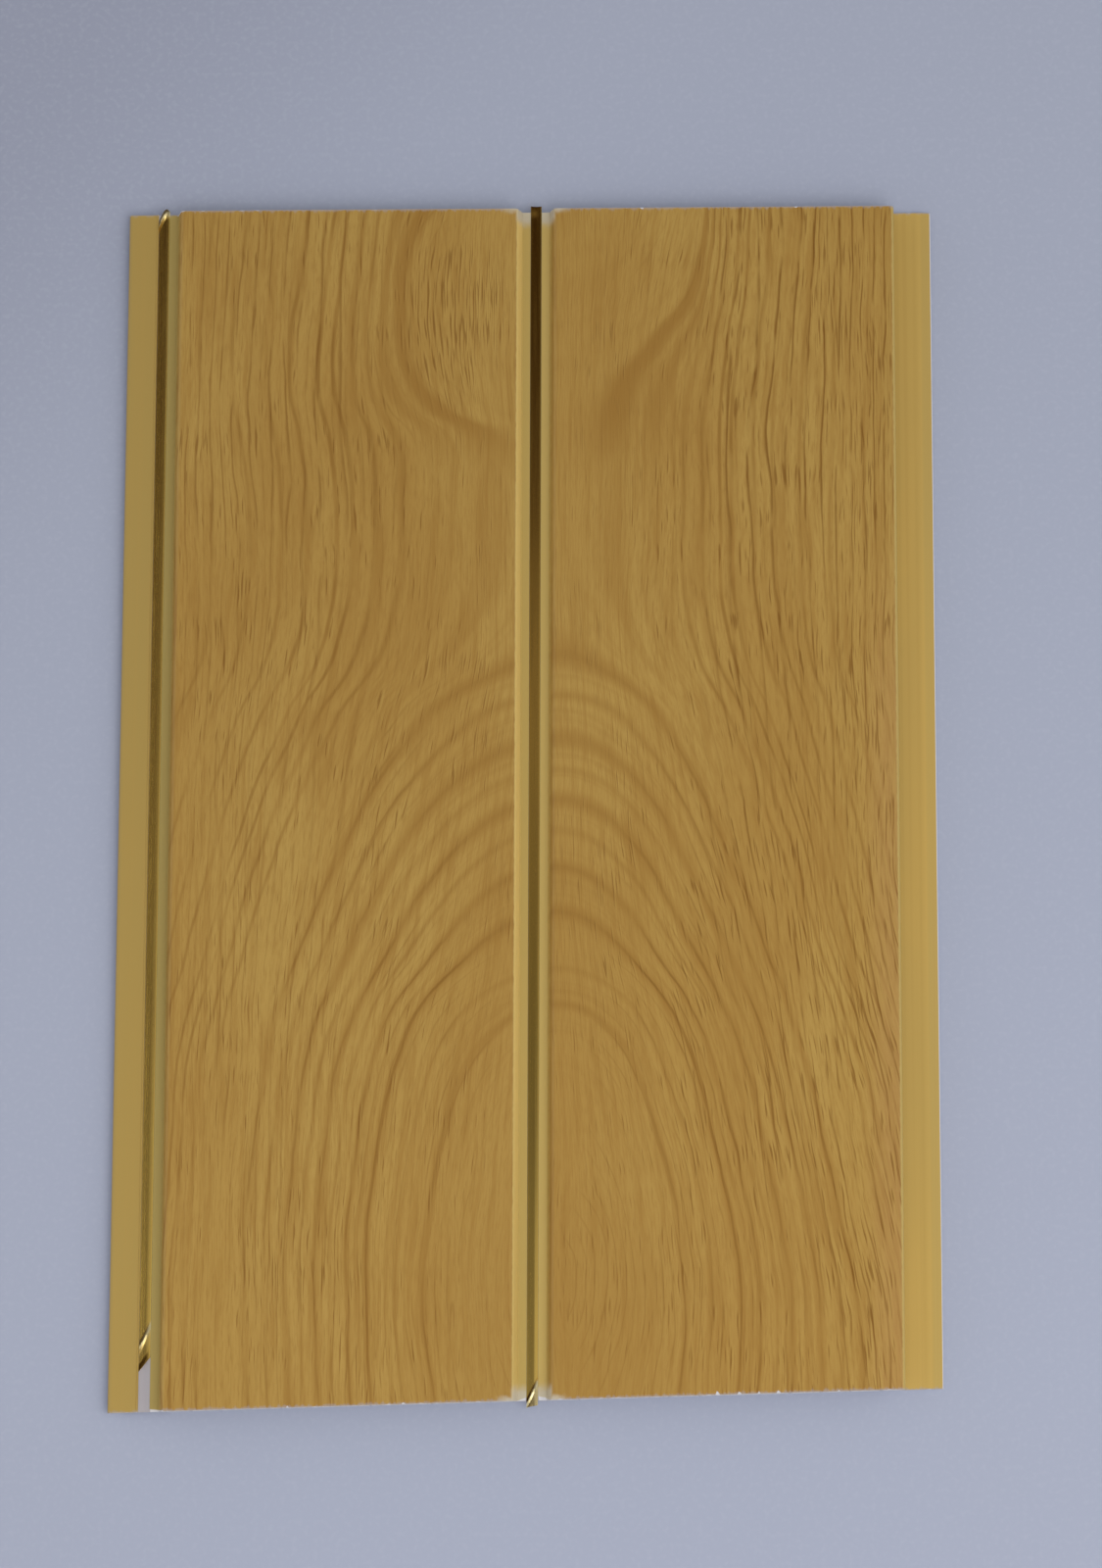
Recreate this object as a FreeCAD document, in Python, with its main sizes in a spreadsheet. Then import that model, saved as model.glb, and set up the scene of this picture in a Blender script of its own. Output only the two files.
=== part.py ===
import FreeCAD, Part
import Sketcher
import os

# A cut length of hollow PVC ceiling panel of the double-board kind, lying on its back.
# X runs across the panel from the tongue to the nailing flange, Y along its length
# and Z up through its thickness to the decorated face. Z is 0 on the back skin.
# Every profile is drawn from the tongue's outer edge and from the back skin.
# All sizes are millimetres.

SIZES = [
    ("panel_length", 319.0, "long side of the cut piece, on the tongue side"),
    ("panel_thickness", 8.0, "back skin to decorated face"),
    ("end_slant", 6.7, "how much shorter the flange side is, the near end being sawn aslant"),
    ("board_pitch", 100.0, "groove to groove, half of the width that one panel covers"),
    ("groove_position", 9.5, "tongue's outer edge to the middle of the first groove"),
    ("ledge_height", 4.0, "back skin to the tongue's top and the ledges in the grooves"),
    ("ledge_width", 2.15, "plain ledge between a strip and the foot of a board's wall"),
    ("wall_run", 1.3, "how far a board's wall leans back from foot to face"),
    ("shoulder_radius", 1.2, "rounding where a board's wall meets its face"),
    ("edge_radius", 1.4, "rounding of the second board's outer edge"),
    ("recess_width", 3.0, "seat of a gold strip"),
    ("recess_dip", 0.4, "hollow of the seat's floor across its width"),
    ("ridge_height", 0.25, "lip on the tongue beside the first strip"),
    ("ridge_width", 0.6, "lip on the tongue beside the first strip"),
    ("tongue_reach", 5.0, "how deep the tongue enters a neighbour's slot"),
    ("tongue_radius", 1.1, "rounding of the tongue's outer edge"),
    ("tongue_wall", 1.2, "solid part of the tongue before its cell"),
    ("flange_width", 10.0, "second board's wall to the flange's outer edge"),
    ("flange_thickness", 1.1, "nailing flange"),
    ("taper_width", 2.2, "thinned rim of the nailing flange"),
    ("taper_drop", 0.4, "how much the rim of the flange is thinned"),
    ("slot_clearance", 0.2, "play above and below a neighbour's tongue in the slot"),
    ("slot_end_clearance", 0.5, "play between that tongue's edge and the back of the slot"),
    ("flange_clearance", 0.5, "play between a neighbour's flange and the step in the back"),
    ("skin_thickness", 0.6, "face, back and outer walls"),
    ("rib_thickness", 0.4, "ribs between the cells"),
    ("first_rib_distance", 12.0, "middle of a groove to the middle of the board's first rib"),
    ("cell_count", 10, "equal cells in each board"),
    ("strip_thickness", 0.2, "gold strip"),
    ("strip_clearance", 0.05, "gap at each side of a strip in its seat"),
    ("strip_far_overhang", 1.8, "how far the strips stand out of the far end"),
    ("middle_near_overhang", 1.4, "how far the middle strip stands out of the near end"),
    ("left_near_gap", 10.6, "bare seat before the point of the left strip's torn end"),
    ("tear_slant", 3.8, "how far the left strip's torn end runs back across the strip"),
]

doc = FreeCAD.newDocument("ceiling_panel")
sheet = doc.addObject("Spreadsheet::Sheet", "Sizes")
for row, (alias, value, meaning) in enumerate(SIZES, start=1):
    sheet.set(f"A{row}", alias)
    sheet.set(f"B{row}", str(value))
    sheet.set(f"C{row}", meaning)
    sheet.setAlias(f"B{row}", alias)
doc.recompute()


# Places and heights that several profiles share, each worked out from the sheet

THICKNESS = "<<Sizes>>.panel_thickness"
LENGTH = "<<Sizes>>.panel_length"
LEDGE = "<<Sizes>>.ledge_height"
SKIN = "<<Sizes>>.skin_thickness"
FLANGE_TOP = "<<Sizes>>.flange_thickness"
HALF_RIB = "<<Sizes>>.rib_thickness / 2"
HALF_RECESS = "<<Sizes>>.recess_width / 2"
FIRST_GROOVE = "<<Sizes>>.groove_position"
SECOND_GROOVE = "(<<Sizes>>.groove_position + <<Sizes>>.board_pitch)"
WALL_FOOT = f"({HALF_RECESS} + <<Sizes>>.ledge_width)"
WALL_TOP = f"({WALL_FOOT} + <<Sizes>>.wall_run)"

# A neighbour lies two boards further on: its tongue enters the slot by the tongue's reach,
# and the flange of the neighbour on the other side comes in under the tongue
COVER = "2 * <<Sizes>>.board_pitch"
SIDE_WALL = f"({COVER} + <<Sizes>>.tongue_reach)"
WIDTH = f"({SIDE_WALL} + <<Sizes>>.flange_width)"
SLOT_BACK = f"({COVER} - <<Sizes>>.slot_end_clearance)"
SLOT_ROOF = f"({LEDGE} + <<Sizes>>.slot_clearance)"
TONGUE_UNDERSIDE = f"({FLANGE_TOP} + <<Sizes>>.slot_clearance)"
BACK_STEP = f"({WIDTH} - {COVER} + <<Sizes>>.flange_clearance)"

# A strip's seat is an arc whose ends lie one strip thickness below the ledge
SEAT_EDGE = f"({LEDGE} - <<Sizes>>.strip_thickness)"
SEAT_FLOOR = f"({SEAT_EDGE} - <<Sizes>>.recess_dip)"
SEAT_RADIUS = (
    f"((({HALF_RECESS}) ^ 2 + <<Sizes>>.recess_dip ^ 2) / (2 * <<Sizes>>.recess_dip))"
)

# The last cell of the second board ends at the wall behind the slot
FIRST_RIB = "<<Sizes>>.first_rib_distance"
CELL_PITCH = (
    f"(({SLOT_BACK} - {SKIN} + {HALF_RIB} - {SECOND_GROOVE} - {FIRST_RIB})"
    " / <<Sizes>>.cell_count)"
)
LAST_RIB = f"({FIRST_GROOVE} + {FIRST_RIB} + <<Sizes>>.cell_count * {CELL_PITCH})"

# The far ends of the strips and the near end of the long side are equally far from Y = 0
NEAR_END = f"(({LENGTH} + <<Sizes>>.strip_far_overhang) / 2)"

# Two points nearer than this are the same point
TOUCHING = 0.001


def value_of(expression):
    result = sheet.evalExpression(expression)
    return float(getattr(result, "Value", result))


def origin_plane(body, role):
    for feature in body.Origin.OriginFeatures:
        if feature.Role == role:
            return feature
    raise RuntimeError(f"{body.Label} has no {role}")


def new_body(name):
    body = doc.addObject("PartDesign::Body", name)
    body.Label = name
    return body


def new_sketch(body, name, role, shift_z="0", shift_y="0"):
    """Sketch on one of the body's own planes, with its X counted from the tongue's edge."""
    sketch = body.newObject("Sketcher::SketchObject", name)
    sketch.AttachmentSupport = [(origin_plane(body, role), "")]
    sketch.MapMode = "FlatFace"
    sketch.setExpression("AttachmentOffset.Base.x", f"-{WIDTH} / 2")
    sketch.setExpression("AttachmentOffset.Base.y", shift_y)
    sketch.setExpression("AttachmentOffset.Base.z", shift_z)
    return sketch


def place(sketch, edge, end, x, y):
    """Fix one end of an edge at a place given by two expressions."""
    for kind, expression in (("DistanceX", x), ("DistanceY", y)):
        index = sketch.addConstraint(
            Sketcher.Constraint(kind, -1, 1, edge, end, value_of(expression)))
        sketch.setExpression(f"Constraints[{index}]", expression)


def hanging_arc(start, end, radius):
    """Arc between two points that hangs below its chord, as a seat's hollow floor does."""
    half_chord = (end - start).Length / 2
    dip = radius - (radius ** 2 - half_chord ** 2) ** 0.5
    return Part.Arc(start, (start + end) / 2 - FreeCAD.Vector(0, dip, 0), end)


def end_at(sketch, edge, corner):
    """Number of the edge's end that lies at the corner: 1 or 2."""
    distances = [(sketch.getPoint(edge, end) - corner).Length for end in (1, 2)]
    return 1 if distances[0] < distances[1] else 2


def draw_outline(sketch, points, hollows=None):
    """Closed outline through points, where hollows gives some edges a radius."""
    hollows = hollows or {}
    corners = [FreeCAD.Vector(value_of(x), value_of(y), 0) for x, y in points]
    count = len(corners)
    first = sketch.GeometryCount
    for number, start in enumerate(corners):
        end = corners[(number + 1) % count]
        if number in hollows:
            sketch.addGeometry(hanging_arc(start, end, value_of(hollows[number])), False)
        else:
            sketch.addGeometry(Part.LineSegment(start, end), False)
    for number, (x, y) in enumerate(points):
        edge = first + number
        edge_before = first + (number - 1) % count
        here = end_at(sketch, edge, corners[number])
        place(sketch, edge, here, x, y)
        meeting = end_at(sketch, edge_before, corners[number])
        sketch.addConstraint(
            Sketcher.Constraint("Coincident", edge_before, meeting, edge, here))
    for number, radius in hollows.items():
        index = sketch.addConstraint(
            Sketcher.Constraint("Radius", first + number, value_of(radius)))
        sketch.setExpression(f"Constraints[{index}]", radius)


def draw_box(sketch, left, right, bottom, top):
    draw_outline(sketch, [(left, bottom), (right, bottom), (right, top), (left, top)])


def pad_along(body, name, sketch, length):
    """Extrude a section from its near end to its far end."""
    pad = body.newObject("PartDesign::Pad", name)
    pad.Profile = sketch
    pad.Reversed = True
    pad.setExpression("Length", length)
    doc.recompute()
    return pad


def cut_through(body, name, sketch):
    """Cut a profile right through the body, and make sure that it took material away."""
    before = body.Shape.Volume
    pocket = body.newObject("PartDesign::Pocket", name)
    pocket.Profile = sketch
    pocket.Type = "ThroughAll"
    pocket.Midplane = True
    doc.recompute()
    if not 0 < pocket.Shape.Volume < before:
        raise RuntimeError(f"{name} cut nothing")
    return pocket


def long_edges(shape, places):
    """Names of the edges along Y that pass through the given places in the section."""
    names = []
    for x, z in places:
        corner = FreeCAD.Vector(value_of(x) - value_of(WIDTH) / 2, 0, value_of(z))
        for number, edge in enumerate(shape.Edges, start=1):
            offsets = [vertex.Point - corner for vertex in edge.Vertexes]
            if all(FreeCAD.Vector(gap.x, 0, gap.z).Length < TOUCHING for gap in offsets):
                names.append(f"Edge{number}")
    if len(names) != len(places):
        raise RuntimeError(f"found {len(names)} of {len(places)} edges to round")
    return names


def round_edges(body, name, feature, places, radius):
    fillet = body.newObject("PartDesign::Fillet", name)
    fillet.Base = (feature, long_edges(feature.Shape, places))
    fillet.setExpression("Radius", radius)
    doc.recompute()
    return fillet


# Section of the panel: tongue, two boards with a groove before each, and nailing flange

def groove_points(groove):
    """Foot of the ledge, the strip's seat and the ledge behind it, from left to right."""
    return [
        (f"{groove} - {HALF_RECESS}", LEDGE),
        (f"{groove} - {HALF_RECESS}", SEAT_EDGE),
        (f"{groove} + {HALF_RECESS}", SEAT_EDGE),
        (f"{groove} + {HALF_RECESS}", LEDGE),
        (f"{groove} + {WALL_FOOT}", LEDGE),
        (f"{groove} + {WALL_TOP}", THICKNESS),
    ]


def panel_section(body):
    sketch = new_sketch(body, "panel_section", "XZ_Plane", shift_z=NEAR_END)
    ridge_foot = f"{FIRST_GROOVE} - {HALF_RECESS} - <<Sizes>>.ridge_width"
    ridge_top = f"{LEDGE} + <<Sizes>>.ridge_height"
    start = [
        ("0", TONGUE_UNDERSIDE),
        ("0", LEDGE),
        (ridge_foot, LEDGE),
        (f"{ridge_foot} + <<Sizes>>.ridge_width / 3", ridge_top),
        (f"{ridge_foot} + <<Sizes>>.ridge_width * 2 / 3", ridge_top),
    ]
    first = groove_points(FIRST_GROOVE)
    between = [
        (f"{SECOND_GROOVE} - {WALL_TOP}", THICKNESS),
        (f"{SECOND_GROOVE} - {WALL_FOOT}", LEDGE),
    ]
    second = groove_points(SECOND_GROOVE)
    flange_rim = f"{FLANGE_TOP} - <<Sizes>>.taper_drop"
    end = [
        (SIDE_WALL, THICKNESS),
        (SIDE_WALL, SLOT_ROOF),
        (SLOT_BACK, SLOT_ROOF),
        (SLOT_BACK, FLANGE_TOP),
        (f"{WIDTH} - <<Sizes>>.taper_width", FLANGE_TOP),
        (WIDTH, flange_rim),
        (WIDTH, "0"),
        (BACK_STEP, "0"),
        (BACK_STEP, TONGUE_UNDERSIDE),
    ]
    first_seat = len(start) + 1
    second_seat = len(start) + len(first) + len(between) + 1
    draw_outline(sketch, start + first + between + second + end,
                 {first_seat: SEAT_RADIUS, second_seat: SEAT_RADIUS})
    return sketch


def edge_cells(body):
    """The cells that differ from the rows of equal ones."""
    sketch = new_sketch(body, "edge_cells", "XZ_Plane", shift_z=NEAR_END)
    roof = f"{THICKNESS} - {SKIN}"
    raised_floor = f"{TONGUE_UNDERSIDE} + {SKIN}"
    under_ledge = f"{LEDGE} - {SKIN}"
    under_seat = f"{SEAT_FLOOR} - {SKIN}"
    foot = f"{WALL_FOOT} + {SKIN}"
    top = f"{WALL_TOP} + {SKIN}"
    draw_box(sketch, "<<Sizes>>.tongue_wall", f"{FIRST_GROOVE} - {HALF_RECESS} - {SKIN}",
             raised_floor, under_ledge)
    draw_box(sketch, f"{FIRST_GROOVE} - {HALF_RECESS} - {SKIN} + 2 * {HALF_RIB}",
             f"{FIRST_GROOVE} + {foot} - 2 * {HALF_RIB}", raised_floor, under_seat)
    draw_outline(sketch, [
        (f"{FIRST_GROOVE} + {foot}", raised_floor),
        (f"{BACK_STEP} + {SKIN}", raised_floor),
        (f"{BACK_STEP} + {SKIN}", SKIN),
        (f"{FIRST_GROOVE} + {FIRST_RIB} - {HALF_RIB}", SKIN),
        (f"{FIRST_GROOVE} + {FIRST_RIB} - {HALF_RIB}", roof),
        (f"{FIRST_GROOVE} + {top}", roof),
        (f"{FIRST_GROOVE} + {foot}", under_ledge),
    ])
    draw_outline(sketch, [
        (f"{LAST_RIB} + {HALF_RIB}", SKIN),
        (f"{SECOND_GROOVE} - ({foot})", SKIN),
        (f"{SECOND_GROOVE} - ({foot})", under_ledge),
        (f"{SECOND_GROOVE} - ({top})", roof),
        (f"{LAST_RIB} + {HALF_RIB}", roof),
    ])
    draw_box(sketch, f"{SECOND_GROOVE} - ({foot}) + 2 * {HALF_RIB}",
             f"{SECOND_GROOVE} + {foot} - 2 * {HALF_RIB}", SKIN, under_seat)
    draw_outline(sketch, [
        (f"{SECOND_GROOVE} + {foot}", SKIN),
        (f"{SECOND_GROOVE} + {FIRST_RIB} - {HALF_RIB}", SKIN),
        (f"{SECOND_GROOVE} + {FIRST_RIB} - {HALF_RIB}", roof),
        (f"{SECOND_GROOVE} + {top}", roof),
        (f"{SECOND_GROOVE} + {foot}", under_ledge),
    ])
    corner = "<<Sizes>>.edge_radius / 2"
    draw_outline(sketch, [
        (f"{SLOT_BACK} - {SKIN} + 2 * {HALF_RIB}", f"{SLOT_ROOF} + {SKIN}"),
        (f"{SIDE_WALL} - {SKIN}", f"{SLOT_ROOF} + {SKIN}"),
        (f"{SIDE_WALL} - {SKIN}", f"{roof} - {corner}"),
        (f"{SIDE_WALL} - {SKIN} - {corner}", roof),
        (f"{SLOT_BACK} - {SKIN} + 2 * {HALF_RIB}", roof),
    ])
    return sketch


def cell_row(body):
    """One cell in each board, repeated side by side up to the board's far rib."""
    sketch = new_sketch(body, "first_cells", "XZ_Plane", shift_z=NEAR_END)
    for groove in (FIRST_GROOVE, SECOND_GROOVE):
        left = f"{groove} + {FIRST_RIB} + {HALF_RIB}"
        draw_box(sketch, left, f"{left} + {CELL_PITCH} - 2 * {HALF_RIB}",
                 SKIN, f"{THICKNESS} - {SKIN}")
    cells = cut_through(body, "first_cells_cut", sketch)
    pattern = body.newObject("PartDesign::LinearPattern", "cell_rows")
    pattern.Originals = [cells]
    pattern.Direction = (sketch, ["H_Axis"])
    pattern.setExpression("Length", f"{CELL_PITCH} * (<<Sizes>>.cell_count - 1)")
    pattern.setExpression("Occurrences", "<<Sizes>>.cell_count")
    body.Tip = pattern
    doc.recompute()
    return pattern


def slanting_cut(body, name, left, right, start, depth):
    """Wedge off a near end, from nothing at its left edge to the full depth at its right.
    start is where the wedge begins, counted from the near end of the panel's long side."""
    sketch = new_sketch(body, f"{name}_wedge", "XY_Plane", shift_y=f"-{NEAR_END}")
    draw_outline(sketch, [(left, start), (right, start), (right, f"{start} + {depth}")])
    return cut_through(body, name, sketch)


def make_panel():
    body = new_body("panel")
    section = pad_along(body, "panel_extrusion", panel_section(body), LENGTH)
    shoulders = [
        (f"{FIRST_GROOVE} + {WALL_TOP}", THICKNESS),
        (f"{SECOND_GROOVE} - {WALL_TOP}", THICKNESS),
        (f"{SECOND_GROOVE} + {WALL_TOP}", THICKNESS),
    ]
    rounded = round_edges(body, "shoulders", section, shoulders,
                          "<<Sizes>>.shoulder_radius")
    rounded = round_edges(body, "outer_edge", rounded, [(SIDE_WALL, THICKNESS)],
                          "<<Sizes>>.edge_radius")
    round_edges(body, "tongue_edge", rounded, [("0", LEDGE), ("0", TONGUE_UNDERSIDE)],
                f"min(<<Sizes>>.tongue_radius; 0.45 * ({LEDGE} - {TONGUE_UNDERSIDE}))")
    cut_through(body, "edge_cells_cut", edge_cells(body))
    cell_row(body)
    slanting_cut(body, "near_end_cut", "0", WIDTH, "0", "<<Sizes>>.end_slant")
    return body


# Gold strips, each a thin band that lies in its seat level with the ledges

HALF_STRIP = f"({HALF_RECESS} - <<Sizes>>.strip_clearance)"


def make_strip(name, groove, near_shift):
    """Strip in one groove. near_shift is where it starts, counted from the near end."""
    body = new_body(name)
    sketch = new_sketch(body, f"{name}_section", "XZ_Plane",
                        shift_z=f"{NEAR_END} - ({near_shift})")
    rise = f"({SEAT_RADIUS} - sqrt({SEAT_RADIUS} ^ 2 - {HALF_STRIP} ^ 2))"
    bottom = f"{SEAT_FLOOR} + {rise}"
    thickness = "<<Sizes>>.strip_thickness"
    draw_outline(sketch, [
        (f"{groove} - {HALF_STRIP}", bottom),
        (f"{groove} + {HALF_STRIP}", bottom),
        (f"{groove} + {HALF_STRIP}", f"{bottom} + {thickness}"),
        (f"{groove} - {HALF_STRIP}", f"{bottom} + {thickness}"),
    ], {0: SEAT_RADIUS, 2: SEAT_RADIUS})
    pad_along(body, f"{name}_band", sketch,
              f"{LENGTH} + <<Sizes>>.strip_far_overhang - ({near_shift})")
    return body


def make_strips():
    """The left strip is torn off short, the middle one stands out of the slanting end."""
    torn_off = "<<Sizes>>.left_near_gap"
    left = make_strip("gold_strip_left", FIRST_GROOVE, torn_off)
    slanting_cut(left, "torn_end", f"{FIRST_GROOVE} - {HALF_STRIP}",
                 f"{FIRST_GROOVE} + {HALF_STRIP}", torn_off, "<<Sizes>>.tear_slant")
    middle_end = f"<<Sizes>>.end_slant * {SECOND_GROOVE} / {WIDTH}"
    middle = make_strip("gold_strip_middle", SECOND_GROOVE,
                        f"{middle_end} - <<Sizes>>.middle_near_overhang")
    return [left, middle]


sub_parts = [make_panel()] + make_strips()
doc.recompute()

for obj in doc.Objects:
    if "Invalid" in obj.State or "Error" in obj.State:
        raise RuntimeError(f"{obj.Label} failed: {obj.State}")
for sub_part in sub_parts:
    if sub_part.Shape.isNull() or not sub_part.Shape.isValid():
        raise RuntimeError(f"{sub_part.Label} has no valid shape")

os.makedirs("parts", exist_ok=True)
for sub_part in sub_parts:
    sub_part.Shape.exportStep(f"parts/{sub_part.Label}.step")
    print(sub_part.Label, round(sub_part.Shape.Volume / 1000, 2), "cm3")
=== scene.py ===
"""A cut length of printed PVC ceiling panel, lying face up on a pale floor.

The panel is a hollow white extrusion of the double-board kind. Its tongue, its two boards and
its nailing flange are covered with printed film, and a gold foil strip lies in each groove.
X runs across the panel from the tongue to the flange, Y along it and Z up. Sizes are metres.
"""

import math

import bmesh
import bpy
from bpy.props import FloatProperty, FloatVectorProperty, IntProperty, PointerProperty
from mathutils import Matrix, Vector, noise


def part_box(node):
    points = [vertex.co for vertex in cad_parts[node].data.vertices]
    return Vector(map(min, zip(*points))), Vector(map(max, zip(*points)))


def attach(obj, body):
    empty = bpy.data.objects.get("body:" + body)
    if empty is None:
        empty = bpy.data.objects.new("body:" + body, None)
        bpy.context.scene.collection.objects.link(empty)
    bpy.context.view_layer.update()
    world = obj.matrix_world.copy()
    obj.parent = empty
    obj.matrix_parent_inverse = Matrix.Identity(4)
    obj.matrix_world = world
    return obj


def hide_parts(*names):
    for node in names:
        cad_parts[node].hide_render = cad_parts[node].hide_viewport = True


bl_info = {
    "name": "PVC ceiling panel",
    "version": (1, 0, 0),
    "blender": (4, 5, 0),
    "location": "3D View > Sidebar > Ceiling panel",
    "description": "Builds a printed double-board ceiling panel with gold foil strips",
    "category": "Object",
}

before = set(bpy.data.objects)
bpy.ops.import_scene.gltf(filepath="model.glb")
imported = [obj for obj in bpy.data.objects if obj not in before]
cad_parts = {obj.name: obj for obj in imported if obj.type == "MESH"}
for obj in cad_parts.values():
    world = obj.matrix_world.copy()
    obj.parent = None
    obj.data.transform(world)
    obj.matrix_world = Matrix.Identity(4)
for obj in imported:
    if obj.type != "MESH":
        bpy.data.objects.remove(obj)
LOW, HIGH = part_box("panel")
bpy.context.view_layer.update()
BODY = "root"
MM = 0.001

# Play, overlaps and steps of the construction
BARE_RIM = 0.16 * MM
BEAD_FROM_TAPER = 2.6 * MM
BEAD_STEPS = 10
MERGE = 0.002 * MM
COLUMN = 0.4 * MM
END_ROWS = (6.5 * MM, 20 * MM)
ROW = 30 * MM
FILM_OVERLAP = 1.04
SHARP_EDGE = math.radians(32)
ARC_STEPS = 6
SEAT_STEPS = 12
SAW_STEP = 0.7 * MM
SAW_ROUGHNESS = 0.1 * MM
CELL_FILLET = 0.25 * MM
FOIL_PLAY = 0.05 * MM
FOIL_LIFT = 0.01 * MM


# Sizes and colours that a user would change

def size(name, description, default):
    return FloatProperty(name=name, description=description, default=default,
                         unit="LENGTH", precision=5)


def share(name, description, default):
    return FloatProperty(name=name, description=description, default=default,
                         min=0.0, max=1.0, subtype="FACTOR")


def as_seen(*levels):
    """Linear colour of a surface that shows the given 0 to 255 levels in plain light."""
    tones = [level / 255 for level in levels]
    linear = [t / 12.92 if t <= 0.04045 else ((t + 0.055) / 1.055) ** 2.4 for t in tones]
    return (*linear, 1.0)


def colour(name, description, *levels):
    return FloatVectorProperty(name=name, description=description, subtype="COLOR",
                               size=4, min=0.0, max=1.0, default=as_seen(*levels))


class PanelSizes(bpy.types.PropertyGroup):
    """Section of the extrusion and thickness of what covers it"""
    end_slant: size("End slant", "How far the sawn near end runs back across the panel", 0.0067)
    board_pitch: size("Board pitch", "From one groove to the next", 0.100)
    groove: size("Groove", "From the tongue's edge to the first groove's middle", 0.0095)
    ledge: size("Ledge height", "Height of the ledges beside a groove", 0.004)
    ledge_width: size("Ledge width", "From a strip's seat to the foot of the wall", 0.00215)
    wall_run: size("Wall run", "How far a groove's wall leans over its height", 0.0013)
    shoulder: size("Shoulder radius", "Rounding at the top of a groove's wall", 0.0012)
    edge: size("Edge radius", "Rounding of the second board's outer edge", 0.0014)
    seat_width: size("Seat width", "Width of the hollow seat of a strip", 0.003)
    seat_step: size("Seat step", "From the ledge down to the seat's edge", 0.0002)
    seat_dip: size("Seat dip", "Depth of the seat's hollow floor", 0.0004)
    ridge_height: size("Ridge height", "Height of the ridge beside the first seat", 0.00025)
    ridge_width: size("Ridge width", "Width of the ridge beside the first seat", 0.0006)
    tongue_radius: size("Tongue radius", "Rounding of the tongue's edge", 0.0011)
    tongue_floor: size("Tongue underside", "Height of the tongue's underside", 0.0013)
    flange_width: size("Flange width", "Nailing flange, beyond the second board", 0.010)
    flange_top: size("Flange thickness", "Thickness of the nailing flange", 0.0011)
    taper_width: size("Taper width", "Width of the thinner rim of the flange", 0.0022)
    taper_drop: size("Taper drop", "How much the rim of the flange thins", 0.0004)
    slot_depth: size("Slot depth", "How far the slot runs in under the second board", 0.0055)
    slot_roof: size("Slot roof", "Height of the slot's roof", 0.0042)
    back_step: size("Back step", "From the tongue's edge to the full back", 0.0155)
    skin: size("Skin thickness", "Thickness of the outer skins", 0.0006)
    rib: size("Rib thickness", "Thickness of the ribs between cells", 0.0004)
    first_rib: size("First rib", "From a groove's middle to the first rib", 0.012)
    cells: IntProperty(name="Cells per board", description="Equal cells in each board",
                       default=10, min=1)
    tongue_wall: size("Tongue wall", "Thickness of the tongue's outer wall", 0.0012)
    film: size("Film thickness", "Thickness of the printed film with its lacquer", 0.00012)
    sag: size("Sink marks", "How far the face sinks in between two ribs", 0.00003)
    bead: size("Flange bead", "Height of the gentle bead along the flange", 0.00012)
    foil: size("Foil thickness", "Thickness of the gold strips", 0.00016)


class PanelColours(bpy.types.PropertyGroup):
    """Colours of the film, the plastic, the foil and the floor"""
    oak_light: colour("Light oak", "Light wood between the rings", 180, 146, 76)
    oak_mid: colour("Oak", "Common colour of the print", 171, 134, 66)
    oak_brown: colour("Brown oak", "Soft brown rings", 154, 114, 50)
    oak_dark: colour("Pores", "Short dark pores and fine ring lines", 112, 68, 0)
    oak_red: colour("Red oak", "Reddish wood near the outer edge", 176, 134, 82)
    plain: colour("Plain film", "Film without print on the flange", 199, 165, 89)
    # Painted shade: the flange's film drawn darker on the tongue, where the light is dimmer
    shaded_tongue_film: colour("Dull film", "Film without print on the tongue", 174, 145, 78)
    ledge_film: colour("Groove film", "Film on the walls and ledges of the grooves",
                       190, 164, 94)
    # Painted highlight: a groove's lit shoulder drawn paler, also lightening the shaded ledge
    # across from it
    shoulder_highlight: colour("Shoulder film", "Film stretched over a groove's left shoulder",
                      226, 196, 120)
    bruised: colour("Bruised film", "Film that has gone white beside a groove's end",
                    196, 188, 170)
    # Greenish tint in random patches of the plain film, and painted shade on the left groove's
    # film and the flange's rim
    greenish_tint_and_shade: colour("Greenish film", "Tint of the film where the print runs out",
                     164, 144, 84)
    pvc: colour("Bare plastic", "White plastic of the extrusion", 214, 213, 218)
    # Dust on the sawn plastic, and painted shade in the seats and along the films' sawn edges
    dust_and_shade: colour("Dusty plastic", "Bare plastic in the seats and at the sawn ends",
                  166, 160, 164)
    gold: colour("Gold foil", "Gold of the foil strips", 224, 188, 96)
    # Whitened foil at the creases, partly a painted highlight for their glint
    crease_glint: colour("Foil crease", "Where the foil is creased and its gold has gone pale",
                   240, 232, 190)
    floor: colour("Floor", "Pale floor under the panel", 165, 171, 190)


class StageSettings(bpy.types.PropertyGroup):
    """Light and camera"""
    lens: FloatProperty(name="Lens", description="Focal length for a 36 mm wide sensor",
                        default=101.5, unit="CAMERA")
    ceiling: FloatProperty(name="Ceiling light", description="Power of the large soft lamp",
                           default=11.5, min=0.0, unit="POWER")
    sky: share("Room light", "Strength of the light from all round", 1.0)


def sizes():
    return bpy.context.scene.panel_sizes


def colours():
    return bpy.context.scene.panel_colours


# Section of the panel, as points (x, z)

def arc_points(centre, radius, start, end, steps=ARC_STEPS):
    """Points on a circle from one angle to another, in degrees."""
    angles = [math.radians(start + (end - start) * step / steps) for step in range(steps + 1)]
    return [(centre[0] + radius * math.cos(a), centre[1] + radius * math.sin(a))
            for a in angles]


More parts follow.
